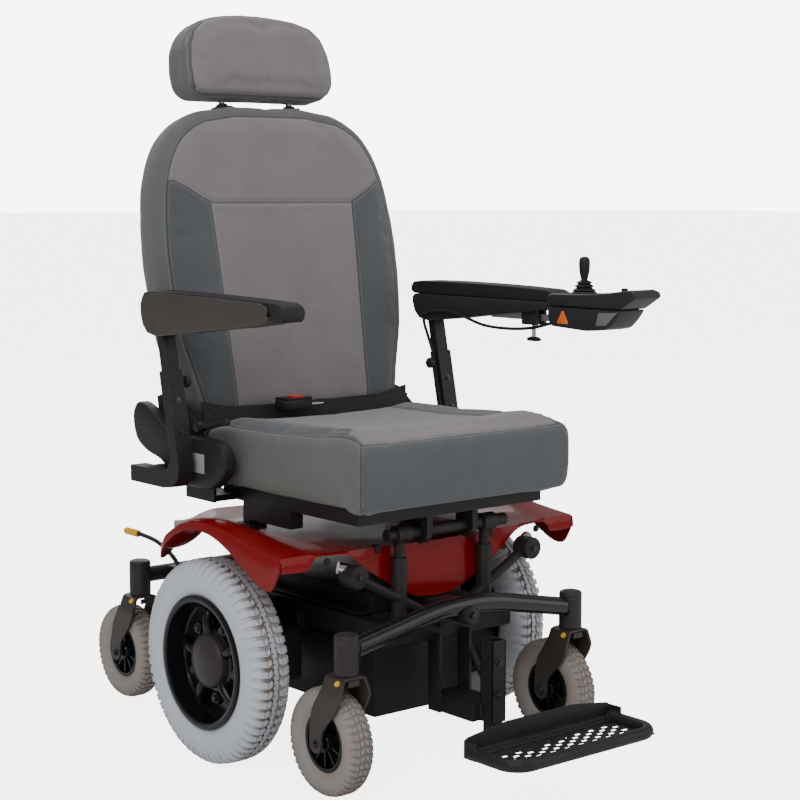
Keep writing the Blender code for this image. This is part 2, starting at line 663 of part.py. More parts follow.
def make_seat_frame():
    add_body("seat", (0, PIVOT_Y, PIVOT_Z), "seat_riser")
    pan_x = SEAT_X - 0.038
    frame = box("seat_frame", (-pan_x, SEAT_FRONT + 0.042, PIVOT_Z + 0.028),
                (pan_x, SEAT_REAR - 0.013, PAN_Z))
    tools = []
    bores = []
    for sign in (-1, 1):
        low, high = span(sign, UPRIGHT_X - 0.0015, UPRIGHT_X + 0.0255)
        tools.append(box("rail", (low, -0.095, PIVOT_Z - 0.004),
                         (high, UPRIGHT_Y - 0.015, PIVOT_Z + 0.030)))
        low, high = span(sign, 0.045, 0.057)
        tools.append(box("ear", (low, PIVOT_Y - 0.022, PIVOT_Z), (high, PIVOT_Y + 0.022, PIVOT_Z + 0.033)))
        tools.append(rod("eye", (low + 0.001, PIVOT_Y, PIVOT_Z), (high - 0.001, PIVOT_Y, PIVOT_Z), 0.0217,
                         12))
        bores.append(rod("eye_bore", (low - 0.01, PIVOT_Y, PIVOT_Z), (high + 0.01, PIVOT_Y, PIVOT_Z),
                         0.0125))
        low, high = span(sign, pan_x - 0.010, SIDE_X + 0.002)
        tools.append(box("wing", (low, 0.060, PIVOT_Z + 0.029), (high, 0.140, PIVOT_Z + 0.040)))
        low, high = span(sign, SIDE_X, SIDE_X + 0.005)
        side = [(0.055, PIVOT_Z + 0.0285), (0.145, PIVOT_Z + 0.0285), (0.145, RECLINE[1])]
        side += arc(RECLINE, 0.032, 0, 180, 6) + [(0.055, RECLINE[1])]
        tools.append(plate("side_plate", side, low, high))
        tools.append(rod("recline_pin", (sign * (SIDE_X + 0.002), *RECLINE),
                         (sign * (SIDE_X - 0.0095), *RECLINE), 0.008))
        low, high = span(sign, 0.100, 0.130)
        tools.append(box("bracket", (low, SEAT_REAR - 0.020, PAN_Z - 0.0125),
                         (high, ARM_TUBE[0], PAN_Z - 0.0005)))
        tools.append(box("saddle", (low + 0.001, ARM_TUBE[0] - 0.014, PAN_Z - 0.010),
                         (high - 0.001, ARM_TUBE[0] + 0.006, ARM_TUBE[1] - 0.006)))
    tools.append(rod("arm_tube", (-COVER_X - 0.0257, *ARM_TUBE), (COVER_X + 0.0257, *ARM_TUBE), 0.013))
    for sign in (-1, 1):
        bores.append(rod("tube_bore", (sign * (COVER_X + 0.030), *ARM_TUBE), (sign * 0.155, *ARM_TUBE),
                         0.0103))
    bores.append(box("pan_hollow", (-0.165, PIVOT_Y + 0.030, PIVOT_Z + 0.020),
                     (0.165, SEAT_REAR - 0.033, PAN_Z - 0.005)))
    join(frame, *tools)
    cut(frame, *bores)
    place(frame, "seat", "frame_black")


def make_seat_cushion():
    base = PAN_Z + 2 * GAP
    top = base + SEAT_THICK
    outline = [(SEAT_FRONT + 0.004, base - 0.0095), (SEAT_FRONT + 0.0270, base - 0.0095),
               (SEAT_FRONT + 0.0410, base), (SEAT_REAR - 0.006, base), (SEAT_REAR, base + 0.020),
               (SEAT_REAR, top - 0.020), (0.040, top - 0.008), (-0.150, top - 0.004), (-0.260, top + 0.014),
               (SEAT_FRONT + 0.022, top + 0.012), (SEAT_FRONT + 0.002, top),
               (SEAT_FRONT - 0.006, top - 0.060)]
    cushion = plate("seat_cushion", outline, -SEAT_X, SEAT_X)
    side_edges = cushion.modifiers.new("soft_sides", "BEVEL")
    side_edges.width = 0.0085
    side_edges.segments = 2
    side_edges.limit_method = "ANGLE"
    side_edges.angle_limit = math.radians(60)
    place(cushion, "seat", "fabric_light")


def make_side_cover(side, sign):
    z = PIVOT_Z
    outline = [(-0.019, z + 0.113), (-0.004, z + 0.136), (0.030, z + 0.145), (0.120, z + 0.145),
               (0.170, z + 0.150),
               (0.215, z + 0.176), (0.250, z + 0.190), (0.272, z + 0.188), (0.284, z + 0.162),
               (0.272, z + 0.122),
               (0.236, z + 0.101), (0.190, z + 0.090), (0.120, z + 0.057), (0.040, z + 0.055),
               (0.004, z + 0.070)]
    low, high = span(sign, COVER_X, COVER_X + 0.0255)
    cover = plate("side_cover_" + side, outline, low, high)
    round_edges(cover, 0.004, 1)
    place(cover, "seat", "plastic_black")


def make_recline_lever():
    y, z = 0.085, PIVOT_Z + 0.1605
    x = -(COVER_X + 0.008)
    add_body("recline_lever", (x, y, z), "seat")
    lever = rod("recline_lever", (x, y, z), (x, y - 0.085, z + 0.016), 0.0055, 12, 0.0045)
    join(lever, rod("lever_boss", (x - 0.008, y, z), (x + 0.008, y, z), 0.010))
    place(lever, "recline_lever", "plastic_black")


def make_belt():
    """Lap belt: webbing along the seat's back edge, and the buckle that lies on it."""
    base = PAN_Z + SEAT_THICK
    webbing = box("seat_belt", (-SEAT_X + 0.006, SEAT_REAR + 0.0015, base - 0.030),
                  (SEAT_X - 0.006, SEAT_REAR + 0.0045, base + 0.020))
    place(webbing, "seat", "webbing")
    low = (-0.088, SEAT_REAR - 0.042, base + 0.0045)
    high = (-0.020, SEAT_REAR - 0.001, base + 0.0270)
    buckle = box("belt_buckle", low, high, edge=0.003)
    button_low = (-0.062, low[1] + 0.010, high[2] - 0.004)
    button_high = (-0.038, high[1] - 0.010, high[2] + 0.0015)
    cut(buckle, box("button_pocket", [v - 0.0004 for v in button_low[:2]] + [button_low[2] - 0.0026],
                    [v + 0.0004 for v in button_high[:2]] + [high[2] + 0.01]))
    place(buckle, "seat", "plastic_black")
    add_body("buckle_button", button_high, "seat")
    place(box("buckle_button", button_low, button_high), "buckle_button", "button_red")


# ---- back ----------------------------------------------------------------------------
def back_tilt():
    """Takes a shape made upright around the recline axis to the raked back."""
    return Matrix.Translation((0, *RECLINE)) @ Matrix.Rotation(-BACK_RAKE, 4, "X")


def make_back():
    add_body("backrest", (0, *RECLINE), "seat")
    tilt = back_tilt()
    front = 0.025
    rear = front + BACK_THICK
    top = 0.035 + BACK_LENGTH
    full = SEAT_X + 0.035
    half = [(0.78, 0.035), (0.83, 0.060), (0.885, 0.120), (0.965, 0.210), (1.0, 0.330), (0.985, 0.430),
            (0.93, 0.510), (0.81, 0.575), (0.64, 0.612), (0.42, 0.632)]
    scale = BACK_LENGTH / 0.600
    right = [(full * u, 0.035 + (v - 0.035) * scale) for u, v in half]
    outline = right + [(0, top)] + [(-u, v) for u, v in reversed(right)]
    cushion = plate("backrest_cushion", outline, front, rear, "Y", tilt)
    round_edges(cushion, 0.018, 2)
    bores = [rod("post_bore", tilt @ Vector((sign * 0.077, front + 0.052, top - 0.105)),
                 tilt @ Vector((sign * 0.077, front + 0.052, top + 0.02)), 0.0068, 12) for sign in (-1, 1)]
    cut(cushion, *bores)
    place(cushion, "backrest", "fabric_light")

    shell = rear + 2 * GAP
    board = box("backrest_frame", (-0.19, shell, 0.062), (0.19, shell + 0.011, top - 0.085), tilt=tilt)
    low_bar = box("low_bar", (-SEAT_X - 0.0075, shell + 0.0005, 0.060),
                  (SEAT_X + 0.0075, shell + 0.012, 0.110), tilt=tilt)
    tools = [low_bar]
    bores = []
    ear = arc((0, 0), 0.018, 180, 300, 4) + [(shell + 0.009, 0.058), (shell + 0.0125, 0.066),
                                             (shell + 0.0125, 0.112),
                                             (shell, 0.114), (0.050, 0.090), (-0.012, 0.030)]
    for sign in (-1, 1):
        low, high = span(sign, SEAT_X + 0.0025, SEAT_X + 0.0075)
        tools.append(plate("ear", ear, low, high, "X", tilt))
        bores.append(rod("ear_bore", (low - 0.01, *RECLINE), (high + 0.01, *RECLINE), 0.0085))
    join(board, *tools)
    cut(board, *bores)
    place(board, "backrest", "frame_black")
    return tilt, front + 0.052, top


def make_headrest(tilt, middle, back_top):
    add_body("headrest", tilt @ Vector((0, middle, back_top)), "backrest")
    base = back_top + 0.012
    bar = base + 0.045
    half = [(0.130, 0.0), (0.156, 0.012), (0.168, 0.050), (0.163, 0.095), (0.145, 0.135), (0.100, 0.160),
            (0.050, 0.168)]
    outline = [(u, base + v) for u, v in half] + [(-u, base + v) for u, v in reversed(half)]
    pad = plate("headrest_pad", outline, middle - 0.050, middle + 0.050, "Y", tilt)
    round_edges(pad, 0.018, 2)
    cut(pad, box("bar_slot", (-0.0860, middle - 0.0078, base - 0.01),
                 (0.0860, middle + 0.0078, bar + 0.0078), tilt=tilt))
    place(pad, "headrest", "fabric_dark")
    knots = [(-0.077, middle, back_top - 0.090), (-0.077, middle, bar - 0.012),
             (-0.0735, middle, bar - 0.0035),
             (-0.065, middle, bar), (0.065, middle, bar), (0.0735, middle, bar - 0.0035),
             (0.077, middle, bar - 0.012),
             (0.077, middle, back_top - 0.090)]
    posts = tube("headrest_posts", [tilt @ Vector(k) for k in knots], 0.006)
    place(posts, "headrest", "bright_metal")


# ---- arms ----------------------------------------------------------------------------
def along_sleeve(distance, across=0.0):
    """(y, z) of a point on an arm sleeve's line, measured up from the sleeve's head."""
    c, s = math.cos(ARM_RAKE), math.sin(ARM_RAKE)
    return (SLEEVE_HEAD[0] + distance * s + across * c, SLEEVE_HEAD[1] + distance * c - across * s)


def sleeve_tilt(x):
    return Matrix.Translation((x, *SLEEVE_HEAD)) @ Matrix.Rotation(-ARM_RAKE, 4, "X")


def make_arm(side, sign):
    x = sign * ARM_X
    wide, deep = SLEEVE
    low_x, high_x = x - wide, x + wide
    add_body("arm_mount_" + side, (x, *ARM_TUBE), "seat")
    tube_y, tube_z = ARM_TUBE
    outline = [along_sleeve(0, -deep), along_sleeve(0, deep), along_sleeve(-0.155, deep),
               (tube_y - 0.105, tube_z + 0.0205),
               (tube_y - 0.090, tube_z + 0.0145), (tube_y + 0.017, tube_z + 0.0145),
               (tube_y + 0.017, tube_z - 0.0145),
               (tube_y - 0.090, tube_z - 0.0145), (tube_y - 0.120, tube_z - 0.0105),
               (tube_y - 0.137, tube_z + 0.0045),
               (tube_y - 0.1415, tube_z + 0.0180), along_sleeve(-0.165, -deep)]
    mount = plate("arm_mount_" + side, outline, low_x, high_x)
    join(mount, rod("stub", (x, *ARM_TUBE), (sign * 0.180, *ARM_TUBE), 0.0098))
    wall = SLEEVE_WALL
    cut(mount, box("post_bore", (-wide + wall, -deep + wall, -0.158), (wide - wall, deep - wall, 0.02),
                   tilt=sleeve_tilt(x)))
    place(mount, "arm_mount_" + side, "plastic_brown")

    add_body("arm_post_" + side, (x, *SLEEVE_HEAD), "arm_mount_" + side)
    half_x, half_d = wide - wall - 0.0003, deep - wall - 0.0003
    post = box("arm_post_" + side, (-half_x, -half_d, -0.100), (half_x, half_d, ARM_LIFT + 0.002),
               tilt=sleeve_tilt(x))
    pin_reach = ARM_W / 2 - 0.003
    join(post, rod("arm_pin", (x - pin_reach, *ARM_PIVOT), (x + pin_reach, *ARM_PIVOT), 0.005, 12))
    place(post, "arm_post_" + side, "frame_black")

    body = "arm_" + side
    add_body(body, (x, *ARM_PIVOT), "arm_post_" + side)
    low_x, high_x = x - ARM_W / 2, x + ARM_W / 2
    y, z = ARM_PIVOT
    split = z + 0.0405
    outline = [(y + 0.042, split), (y + 0.042, z + 0.028), (y + 0.026, z - 0.007), (y - 0.006, z - 0.0115),
               (y - 0.175, z + 0.0075), (y - 0.325, z + 0.0250), (y - 0.340, z + 0.033), (y - 0.340, split)]
    shell = plate("arm_shell_" + side, outline, low_x, high_x)
    slots = [box("post_slot", (x - half_x - 0.0012, y - 0.030, z - 0.05),
                 (x + half_x + 0.0012, y + 0.08, z + 0.023)),
             rod("pin_bore", (low_x - 0.01, *ARM_PIVOT), (high_x + 0.01, *ARM_PIVOT), 0.0055, 12)]
    if sign > 0:
        join(shell, box("clamp_block", (x - 0.014, CLAMP_Y - 0.020, z - 0.005),
                        (x + 0.014, CLAMP_Y + 0.020, z + 0.030)))
        slots.append(box("bar_channel", (x - 0.0063, POD_REAR - 0.02, z + 0.0032),
                         (x + 0.0063, -0.035, z + 0.0158)))
    cut(shell, *slots)
    place(shell, body, "plastic_brown")

    tip = POD_REAR + 0.005 if sign > 0 else -0.255
    outline = [(y + 0.040, split + GAP), (y + 0.046, split + 0.012), (y + 0.036, split + 0.024),
               (y - 0.080, split + 0.027),
               (y - 0.250, split + 0.024), (tip + 0.012, split + 0.019), (tip, split + 0.006),
               (tip, split - 0.004),
               (tip + 0.008, split - 0.010), (y - 0.3405, split - 0.010), (y - 0.3405, split + GAP)]
    if tip + 0.008 > y - 0.3405:
        outline = outline[:7] + [(tip, split + GAP)]
    pad = plate("arm_pad_" + side, outline, low_x + 0.001, high_x - 0.001)
    place(pad, body, "pad_dark")


# ---- joystick ------------------------------------------------------------------------
def make_joystick():
    x = ARM_X
    z = ARM_PIVOT[1]
    bar_x = 0.006
    add_body("joystick", (x, POD_REAR, z + 0.0095), "arm_right")
    bar = box("joystick_bar", (x - bar_x, POD_REAR + 0.0005, z + 0.0035), (x + bar_x, -0.045, z + 0.0155))
    place(bar, "joystick", "frame_black")

    rear, top = POD_REAR, z + 0.058
    outline = [(rear, z + 0.020), (rear - 0.006, z - 0.001), (rear - 0.094, z - 0.006),
               (rear - 0.150, z + 0.000),
               (rear - 0.186, z + 0.040), (rear - 0.214, z + 0.056), (rear - 0.219, z + 0.066),
               (rear - 0.205, top + 0.0135),
               (rear - 0.009, top), (rear, top - 0.006)]
    pod_low, pod_high = JOY_X - 0.034, JOY_X + 0.034
    pod = plate("joystick_housing", outline, pod_low, pod_high)
    round_edges(pod, 0.004, 1)
    join(pod, rod("collar", (JOY_X, JOY_Y, JOY_Z + 0.010), (JOY_X, JOY_Y, JOY_Z + 0.0235), 0.0215))
    button_y = rear - 0.160
    cut(pod,
        rod("stick_well", (JOY_X, JOY_Y, JOY_Z - 0.014), (JOY_X, JOY_Y, JOY_Z + 0.04), 0.0170),
        rod("button_well", (JOY_X, button_y, top - 0.004), (JOY_X, button_y, top + 0.03), 0.0066, 12))
    place(pod, "joystick", "plastic_black")

    add_body("power_button", (JOY_X, button_y, top + 0.012), "joystick")
    place(rod("power_button", (JOY_X, button_y, top - 0.001), (JOY_X, button_y, top + 0.0135), 0.0060, 12),
          "power_button", "button_red")

    centre = (JOY_X, JOY_Y, JOY_Z)
    add_body("stick_side", centre, "joystick")
    ring = rod("joystick_gimbal", (JOY_X, JOY_Y, JOY_Z - 0.003), (JOY_X, JOY_Y, JOY_Z + 0.003), 0.0120, 16)
    cut(ring, rod("gimbal_eye", (JOY_X, JOY_Y, JOY_Z - 0.01), (JOY_X, JOY_Y, JOY_Z + 0.01), 0.0075, 16))
    place(ring, "stick_side", "bright_metal")
    add_body("stick_fore", centre, "stick_side")
    stick = rod("joystick_stick", (JOY_X, JOY_Y, JOY_Z - 0.005), (JOY_X, JOY_Y, JOY_Z + 0.050), 0.0040, 12)
    join(stick,
         rod("skirt", (JOY_X, JOY_Y, JOY_Z + 0.030), (JOY_X, JOY_Y, JOY_Z + 0.047), 0.0120, 12, 0.0065),
         rod("knob", (JOY_X, JOY_Y, JOY_Z + 0.045), (JOY_X, JOY_Y, JOY_Z + 0.079), 0.0070, 12, 0.0085))
    place(stick, "stick_fore", "plastic_black")

    add_body("clamp_knob", (x, CLAMP_Y, z - 0.02), "arm_right")
    knob = rod("clamp_knob", (x, CLAMP_Y, z - 0.0353), (x, CLAMP_Y, z - 0.0053), 0.0042, 12)
    join(knob, box("wings", (x - 0.005, CLAMP_Y - 0.016, z - 0.0360),
                   (x + 0.005, CLAMP_Y + 0.016, z - 0.0270), edge=0.002))
    place(knob, "clamp_knob", "plastic_black")


def make_cable():
    """The joystick's lead: under the arm to the arm's pivot, then down inside the sleeve."""
    y, z = ARM_PIVOT
    inboard = ARM_X - ARM_W / 2 - 0.005
    under = [(JOY_X + 0.002, POD_REAR + 0.001, z + 0.006), (JOY_X, POD_REAR + 0.022, z + 0.001),
             (JOY_X - 0.010, POD_REAR + 0.062, z - 0.009), (inboard, POD_REAR + 0.120, z - 0.013),
             (inboard, -0.050, z - 0.010), (inboard, 0.010, z + 0.004), (inboard, 0.060, z + 0.011),
             (inboard, 0.100, z + 0.008), (inboard, y - GAP, z)]
    lead = tube("joystick_cable", smooth_route(under, 3), CABLE_R)
    place(lead, "arm_right", "webbing")
    beside = ARM_X - SLEEVE[0] - 0.0045
    low_y, low_z = along_sleeve(-0.140, -0.004)
    down = [(inboard, y - 0.0005, z - 0.0036), (inboard, y - 0.005, z - 0.020),
            (beside - 0.006, y - 0.012, z - 0.046),
            (beside, *along_sleeve(-0.010, -0.002)), (beside, *along_sleeve(-0.075, -0.003)),
            (beside, low_y, low_z),
            (beside, low_y + 0.012, low_z - 0.030), (beside, low_y + 0.045, low_z - 0.052)]
    tail = tube("post_cable", smooth_route(down, 3), CABLE_R)
    place(tail, "arm_post_right", "webbing")


# ---- assembly ------------------------------------------------------------------------
def make_chair():
    add_body("chassis", (0, 0, 0))
    make_chassis()
    make_batteries()
    both(make_motor)
    both(make_drive_wheel)
    make_front_beam()
    make_rear_carrier()
    for end, (x, y), parent in (("front", FRONT_PIVOT, "front_beam"), ("rear", REAR_PIVOT, "chassis")):
        for side, sign in (("left", -1), ("right", 1)):
            make_caster(end + "_" + side, sign * x, y, parent)
    make_foot_support()
    both(make_freewheel_lever)
    make_shroud()
    make_risers()
    make_seat_frame()
    make_seat_cushion()
    both(make_side_cover)
    make_recline_lever()
    make_belt()
    make_headrest(*make_back())
    both(make_arm)
    make_joystick()
    make_cable()
    BODIES["chassis"][0].location = (0, AXLE_Y, 0)


clear_scene()
parts = collection("power_wheelchair")
cutters = collection("cutters")
make_chair()
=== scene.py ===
"""Looks of the power wheelchair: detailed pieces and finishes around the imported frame.

Metres, +Z up. The chair faces -Y and its joystick arm is on +X. Every piece is modelled in
place, so its object stays at the origin.
"""
import json
import math

import bmesh
import bpy
import numpy as np
from mathutils import Matrix, Vector


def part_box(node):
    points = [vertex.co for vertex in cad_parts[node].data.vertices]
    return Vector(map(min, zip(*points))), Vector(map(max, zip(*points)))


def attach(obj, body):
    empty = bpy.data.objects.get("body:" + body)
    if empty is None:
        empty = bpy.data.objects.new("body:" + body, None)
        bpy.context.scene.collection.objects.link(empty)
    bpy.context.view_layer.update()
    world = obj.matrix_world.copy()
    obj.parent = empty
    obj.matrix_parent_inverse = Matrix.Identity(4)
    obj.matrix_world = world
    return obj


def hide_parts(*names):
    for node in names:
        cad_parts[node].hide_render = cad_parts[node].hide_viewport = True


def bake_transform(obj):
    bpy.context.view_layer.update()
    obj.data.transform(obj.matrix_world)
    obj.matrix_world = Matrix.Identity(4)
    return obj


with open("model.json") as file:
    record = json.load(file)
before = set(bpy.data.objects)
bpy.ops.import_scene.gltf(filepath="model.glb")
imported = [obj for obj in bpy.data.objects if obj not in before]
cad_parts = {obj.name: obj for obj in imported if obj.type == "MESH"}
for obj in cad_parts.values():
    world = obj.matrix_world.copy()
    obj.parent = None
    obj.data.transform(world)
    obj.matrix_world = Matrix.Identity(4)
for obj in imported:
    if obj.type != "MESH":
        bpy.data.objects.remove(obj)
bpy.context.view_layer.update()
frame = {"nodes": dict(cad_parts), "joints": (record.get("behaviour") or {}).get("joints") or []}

SCENE = bpy.context.scene
SIDES = (("left", -1), ("right", 1))


# ---- places read from the frame ------------------------------------------------------
def middle(node):
    """The centre of a node's box."""
    low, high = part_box(node)
    return (low + high) / 2


def extent(node):
    """The size of a node's box."""
    low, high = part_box(node)
    return high - low


def joint_place(child):
    """The place of the joint that carries a body."""
    return Vector(next(j["pos_m"] for j in frame["joints"] if j["child"] == child))


AXLE = middle("drive_tyre_left")
WHEEL_X = -AXLE.x
TYRE_R = extent("drive_tyre_left").z / 2
TYRE_HALF = extent("drive_tyre_left").x / 2
BEAD_R = 0.11
RECLINE = joint_place("backrest")
BACK_RAKE = math.radians(10.0)
ARM_RAKE = math.radians(12.0)
ARM_X = abs(joint_place("arm_left").x)
ARM_PIVOT = joint_place("arm_left")
DECK_Z = 0.392
FRAME_Z = 0.225
BEAM_Y = joint_place("front_beam").y
BEAM_PIVOT_Z = joint_place("front_beam").z
TILT = joint_place("seat")
FOOT_POST_Y = -0.347
POST_X = 0.178
SLEEVE_HEAD = Vector((0, 0.1495, TILT.z + 0.261))
SEAT_LOW, SEAT_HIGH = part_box("seat_cushion")


# ---- mesh helpers --------------------------------------------------------------------
def finish(bm, name, body, material, smooth=32.0, replaced=()):
    """Turn a bmesh into a finished piece that rides on a body."""
    mesh = bpy.data.meshes.new(name)
    bmesh.ops.recalc_face_normals(bm, faces=bm.faces)
    bm.to_mesh(mesh)
    bm.free()
    return finish_mesh(mesh, name, body, material, smooth, replaced)


def finish_mesh(mesh, name, body, material, smooth=32.0, replaced=()):
    """Make a piece of a mesh: its materials, shading, body and replaced nodes."""
    materials = material if isinstance(material, (list, tuple)) else [material]
    for one in materials:
        mesh.materials.append(one)
    mesh.shade_smooth()
    if smooth < 180:
        mesh.set_sharp_from_angle(angle=math.radians(smooth))
    piece = bpy.data.objects.new(name, mesh)
    SCENE.collection.objects.link(piece)
    if isinstance(body, str):
        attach(piece, body)
    if replaced:
        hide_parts(*([replaced] if isinstance(replaced, str) else replaced))
    return piece


def paint(faces, index):
    """Give faces one of the piece's materials."""
    for face in faces:
        face.material_index = index


def faces_of(verts):
    return {face for vert in verts for face in vert.link_faces}


def bevel(bm, verts, width, segments=3, angle=30.0):
    """Round the sharp edges among some vertices."""
    chosen = set(verts)
    edges = [e for e in bm.edges if e.verts[0] in chosen and e.verts[1] in chosen
             and len(e.link_faces) == 2 and e.calc_face_angle(0) > math.radians(angle)]
    if edges:
        bmesh.ops.bevel(bm, geom=edges, offset=width, segments=segments, profile=0.5,
                        affect="EDGES", material=-1, clamp_overlap=True)


def add_box(bm, low, high, edge=0.0, turn=None, segments=2, index=0):
    made = bmesh.ops.create_cube(bm, size=1.0)["verts"]
    low, high = Vector(low), Vector(high)
    bmesh.ops.scale(bm, vec=high - low, verts=made)
    bmesh.ops.translate(bm, vec=(low + high) / 2, verts=made)
    if turn:
        bmesh.ops.transform(bm, matrix=turn, verts=made)
    paint(faces_of(made), index)
    if edge:
        bevel(bm, made, edge, segments)
    return made


def add_side_box(bm, sign, low, high, *rest, **more):
    """A box placed for the right side; sign -1 mirrors it to the left."""
    near, far = sorted((sign * low[0], sign * high[0]))
    return add_box(bm, (near, *low[1:]), (far, *high[1:]), *rest, **more)


def add_rod(bm, start, end, radius, sides=28, end_radius=None, edge=0.0, index=0):
    start, end = Vector(start), Vector(end)
    along = end - start
    made = bmesh.ops.create_cone(bm, cap_ends=True, segments=sides, radius1=radius,
                                 radius2=radius if end_radius is None else end_radius,
                                 depth=along.length)["verts"]
    turn = Vector((0, 0, 1)).rotation_difference(along.normalized()).to_matrix().to_4x4()
    bmesh.ops.transform(bm, matrix=Matrix.Translation((start + end) / 2) @ turn, verts=made)
    paint(faces_of(made), index)
    if edge:
        bevel(bm, made, edge, 2, 60.0)
    return made


def add_ball(bm, centre, radius, stretch=(1, 1, 1), index=0):
    made = bmesh.ops.create_uvsphere(bm, u_segments=20, v_segments=12, radius=radius)["verts"]
    bmesh.ops.scale(bm, vec=stretch, verts=made)
    bmesh.ops.translate(bm, vec=centre, verts=made)
    paint(faces_of(made), index)
    return made


def add_square_tube(bm, at, half, wall, base, top, edge):
    """Four walls of an upright square tube about (x, y)."""
    x, y = at
    for low_x, high_x, low_y, high_y in ((-half, half, -half, -half + wall),
                                         (-half, half, half - wall, half),
                                         (-half, -half + wall, -half, half),
                                         (half - wall, half, -half, half)):
        add_box(bm, (x + low_x, y + low_y, base), (x + high_x, y + high_y, top), edge, segments=1)


PLANES = {
    "X": Matrix(((0, 0, 1, 0), (1, 0, 0, 0), (0, 1, 0, 0), (0, 0, 0, 1))),
    "Y": Matrix(((1, 0, 0, 0), (0, 0, 1, 0), (0, 1, 0, 0), (0, 0, 0, 1))),
    "Z": Matrix.Identity(4),
}


def add_plate(bm, outline, low, high, axis="X", edge=0.0, segments=3, turn=None, index=0):
    """A flat outline given thickness along an axis; (y, z), (x, z) or (x, y) points."""
    corners = [bm.verts.new((u, v, low)) for u, v in outline]
    face = bm.faces.new(corners)
    lifted = bmesh.ops.extrude_face_region(bm, geom=[face])["geom"]
    top = [part for part in lifted if isinstance(part, bmesh.types.BMVert)]
    bmesh.ops.translate(bm, vec=(0, 0, high - low), verts=top)
    made = corners + top
    matrix = PLANES[axis]
    bmesh.ops.transform(bm, matrix=turn @ matrix if turn else matrix, verts=made)
    bmesh.ops.recalc_face_normals(bm, faces=list(faces_of(made)))
    paint(faces_of(made), index)
    if edge:
        bevel(bm, made, edge, segments, 25.0)
    return made


def add_turned(bm, profile, centre, axis, steps=48, closed=False, index=0):
    """A profile of (radius, height) turned about an axis through centre."""
    before = set(bm.verts)
    axis = Vector(axis).normalized()
    turn = Vector((0, 0, 1)).rotation_difference(axis).to_matrix()
    verts = [bm.verts.new(Vector(centre) + turn @ Vector((r, 0, h))) for r, h in profile]
    edges = [bm.edges.new(pair) for pair in zip(verts, verts[1:])]
    if closed:
        edges.append(bm.edges.new((verts[-1], verts[0])))
    bmesh.ops.spin(bm, geom=verts + edges, cent=centre, axis=axis, dvec=(0, 0, 0),
                   angle=2 * math.pi, steps=steps, use_merge=True, use_duplicate=False)
    made = [v for v in bm.verts if v not in before]
    bmesh.ops.remove_doubles(bm, verts=made, dist=0.00002)
    made = [v for v in bm.verts if v not in before]
    paint(faces_of(made), index)
    return made


def add_route(bm, points, radius, sides=16, index=0):
    """A round bar swept through points; radius is a number or one for each point."""
    points = [Vector(p) for p in points]
    radii = radius if isinstance(radius, (list, tuple)) else [radius] * len(points)
    ring = bmesh.ops.create_circle(bm, cap_ends=True, radius=radii[0], segments=sides)["verts"]
    face = next(iter(ring[0].link_faces))
    heading = (points[1] - points[0]).normalized()
    turn = Vector((0, 0, 1)).rotation_difference(heading).to_matrix().to_4x4()
    bmesh.ops.transform(bm, matrix=Matrix.Translation(points[0]) @ turn, verts=ring)
    made = list(ring)
    for k in range(1, len(points)):
        here, before = points[k], points[k - 1]
        after = points[min(k + 1, len(points) - 1)]
        direction = ((after if k < len(points) - 1 else here) - before).normalized()
        lifted = bmesh.ops.extrude_face_region(bm, geom=[face])["geom"]
        ring = [part for part in lifted if isinstance(part, bmesh.types.BMVert)]
        face = next(part for part in lifted if isinstance(part, bmesh.types.BMFace))
        turn = heading.rotation_difference(direction).to_matrix().to_4x4()
        grow = Matrix.Scale(radii[k] / radii[k - 1], 4)
        matrix = Matrix.Translation(here) @ turn @ grow @ Matrix.Translation(-before)
        bmesh.ops.transform(bm, matrix=matrix, verts=ring)
        heading = direction
        made += ring
    paint(faces_of(made), index)
    return made


def spline_point(p0, p1, p2, p3, t):
    """A point of the Catmull-Rom curve between p1 and p2."""
    return 0.5 * (2 * p1 + (p2 - p0) * t + (2 * p0 - 5 * p1 + 4 * p2 - p3) * t * t
                  + (3 * p1 - p0 - 3 * p2 + p3) * t ** 3)


def smooth_route(points, steps=6):
    """Points along a smooth curve through the given ones."""
    knots = [Vector(p) for p in points]
    knots = [2 * knots[0] - knots[1]] + knots + [2 * knots[-1] - knots[-2]]
    route = []
    for i in range(1, len(knots) - 2):
        route += [spline_point(*knots[i - 1:i + 3], k / steps) for k in range(steps)]
    return route + [knots[-2]]


def thicken(bm, thickness):
    """Give an open sheet its thickness."""
    bmesh.ops.recalc_face_normals(bm, faces=bm.faces)
    bmesh.ops.solidify(bm, geom=list(bm.faces), thickness=thickness)


def thicken_below(bm, thickness, by):
    """Thicken a sheet downwards; its face with the largest measure shows which side is up."""
    bmesh.ops.recalc_face_normals(bm, faces=bm.faces)
    if max(bm.faces, key=by).normal.z < 0:
        bmesh.ops.reverse_faces(bm, faces=bm.faces)
    bmesh.ops.solidify(bm, geom=list(bm.faces), thickness=thickness)


def smooth_outline(points, steps=5):
    """A closed outline rounded through the given points."""
    count = len(points)
    route = []
    for i in range(count):
        near = [Vector(points[(i + k) % count]) for k in (-1, 0, 1, 2)]
        route += [spline_point(*near, k / steps) for k in range(steps)]
    return [tuple(p) for p in route]


def arc(centre, radius, start, end, steps):
    """Points of an arc between two angles in degrees."""
    angles = [math.radians(start + (end - start) * k / steps) for k in range(steps + 1)]
    return [(centre[0] + radius * math.cos(a), centre[1] + radius * math.sin(a)) for a in angles]


def add_bolt(bm, at, axis, size=0.006, index=0, washer=True):
    """A hex head on its washer; it stands on a face whose way out is axis."""
    at, axis = Vector(at), Vector(axis).normalized()
    if washer:
        add_rod(bm, at - axis * 0.001, at + axis * size * 0.22, size * 1.45, 20, index=index)
    add_rod(bm, at, at + axis * size * 0.95, size, 6, index=index)
    add_rod(bm, at + axis * size * 0.9, at + axis * size * 1.1, size * 0.8, 16,
            end_radius=size * 0.62, index=index)


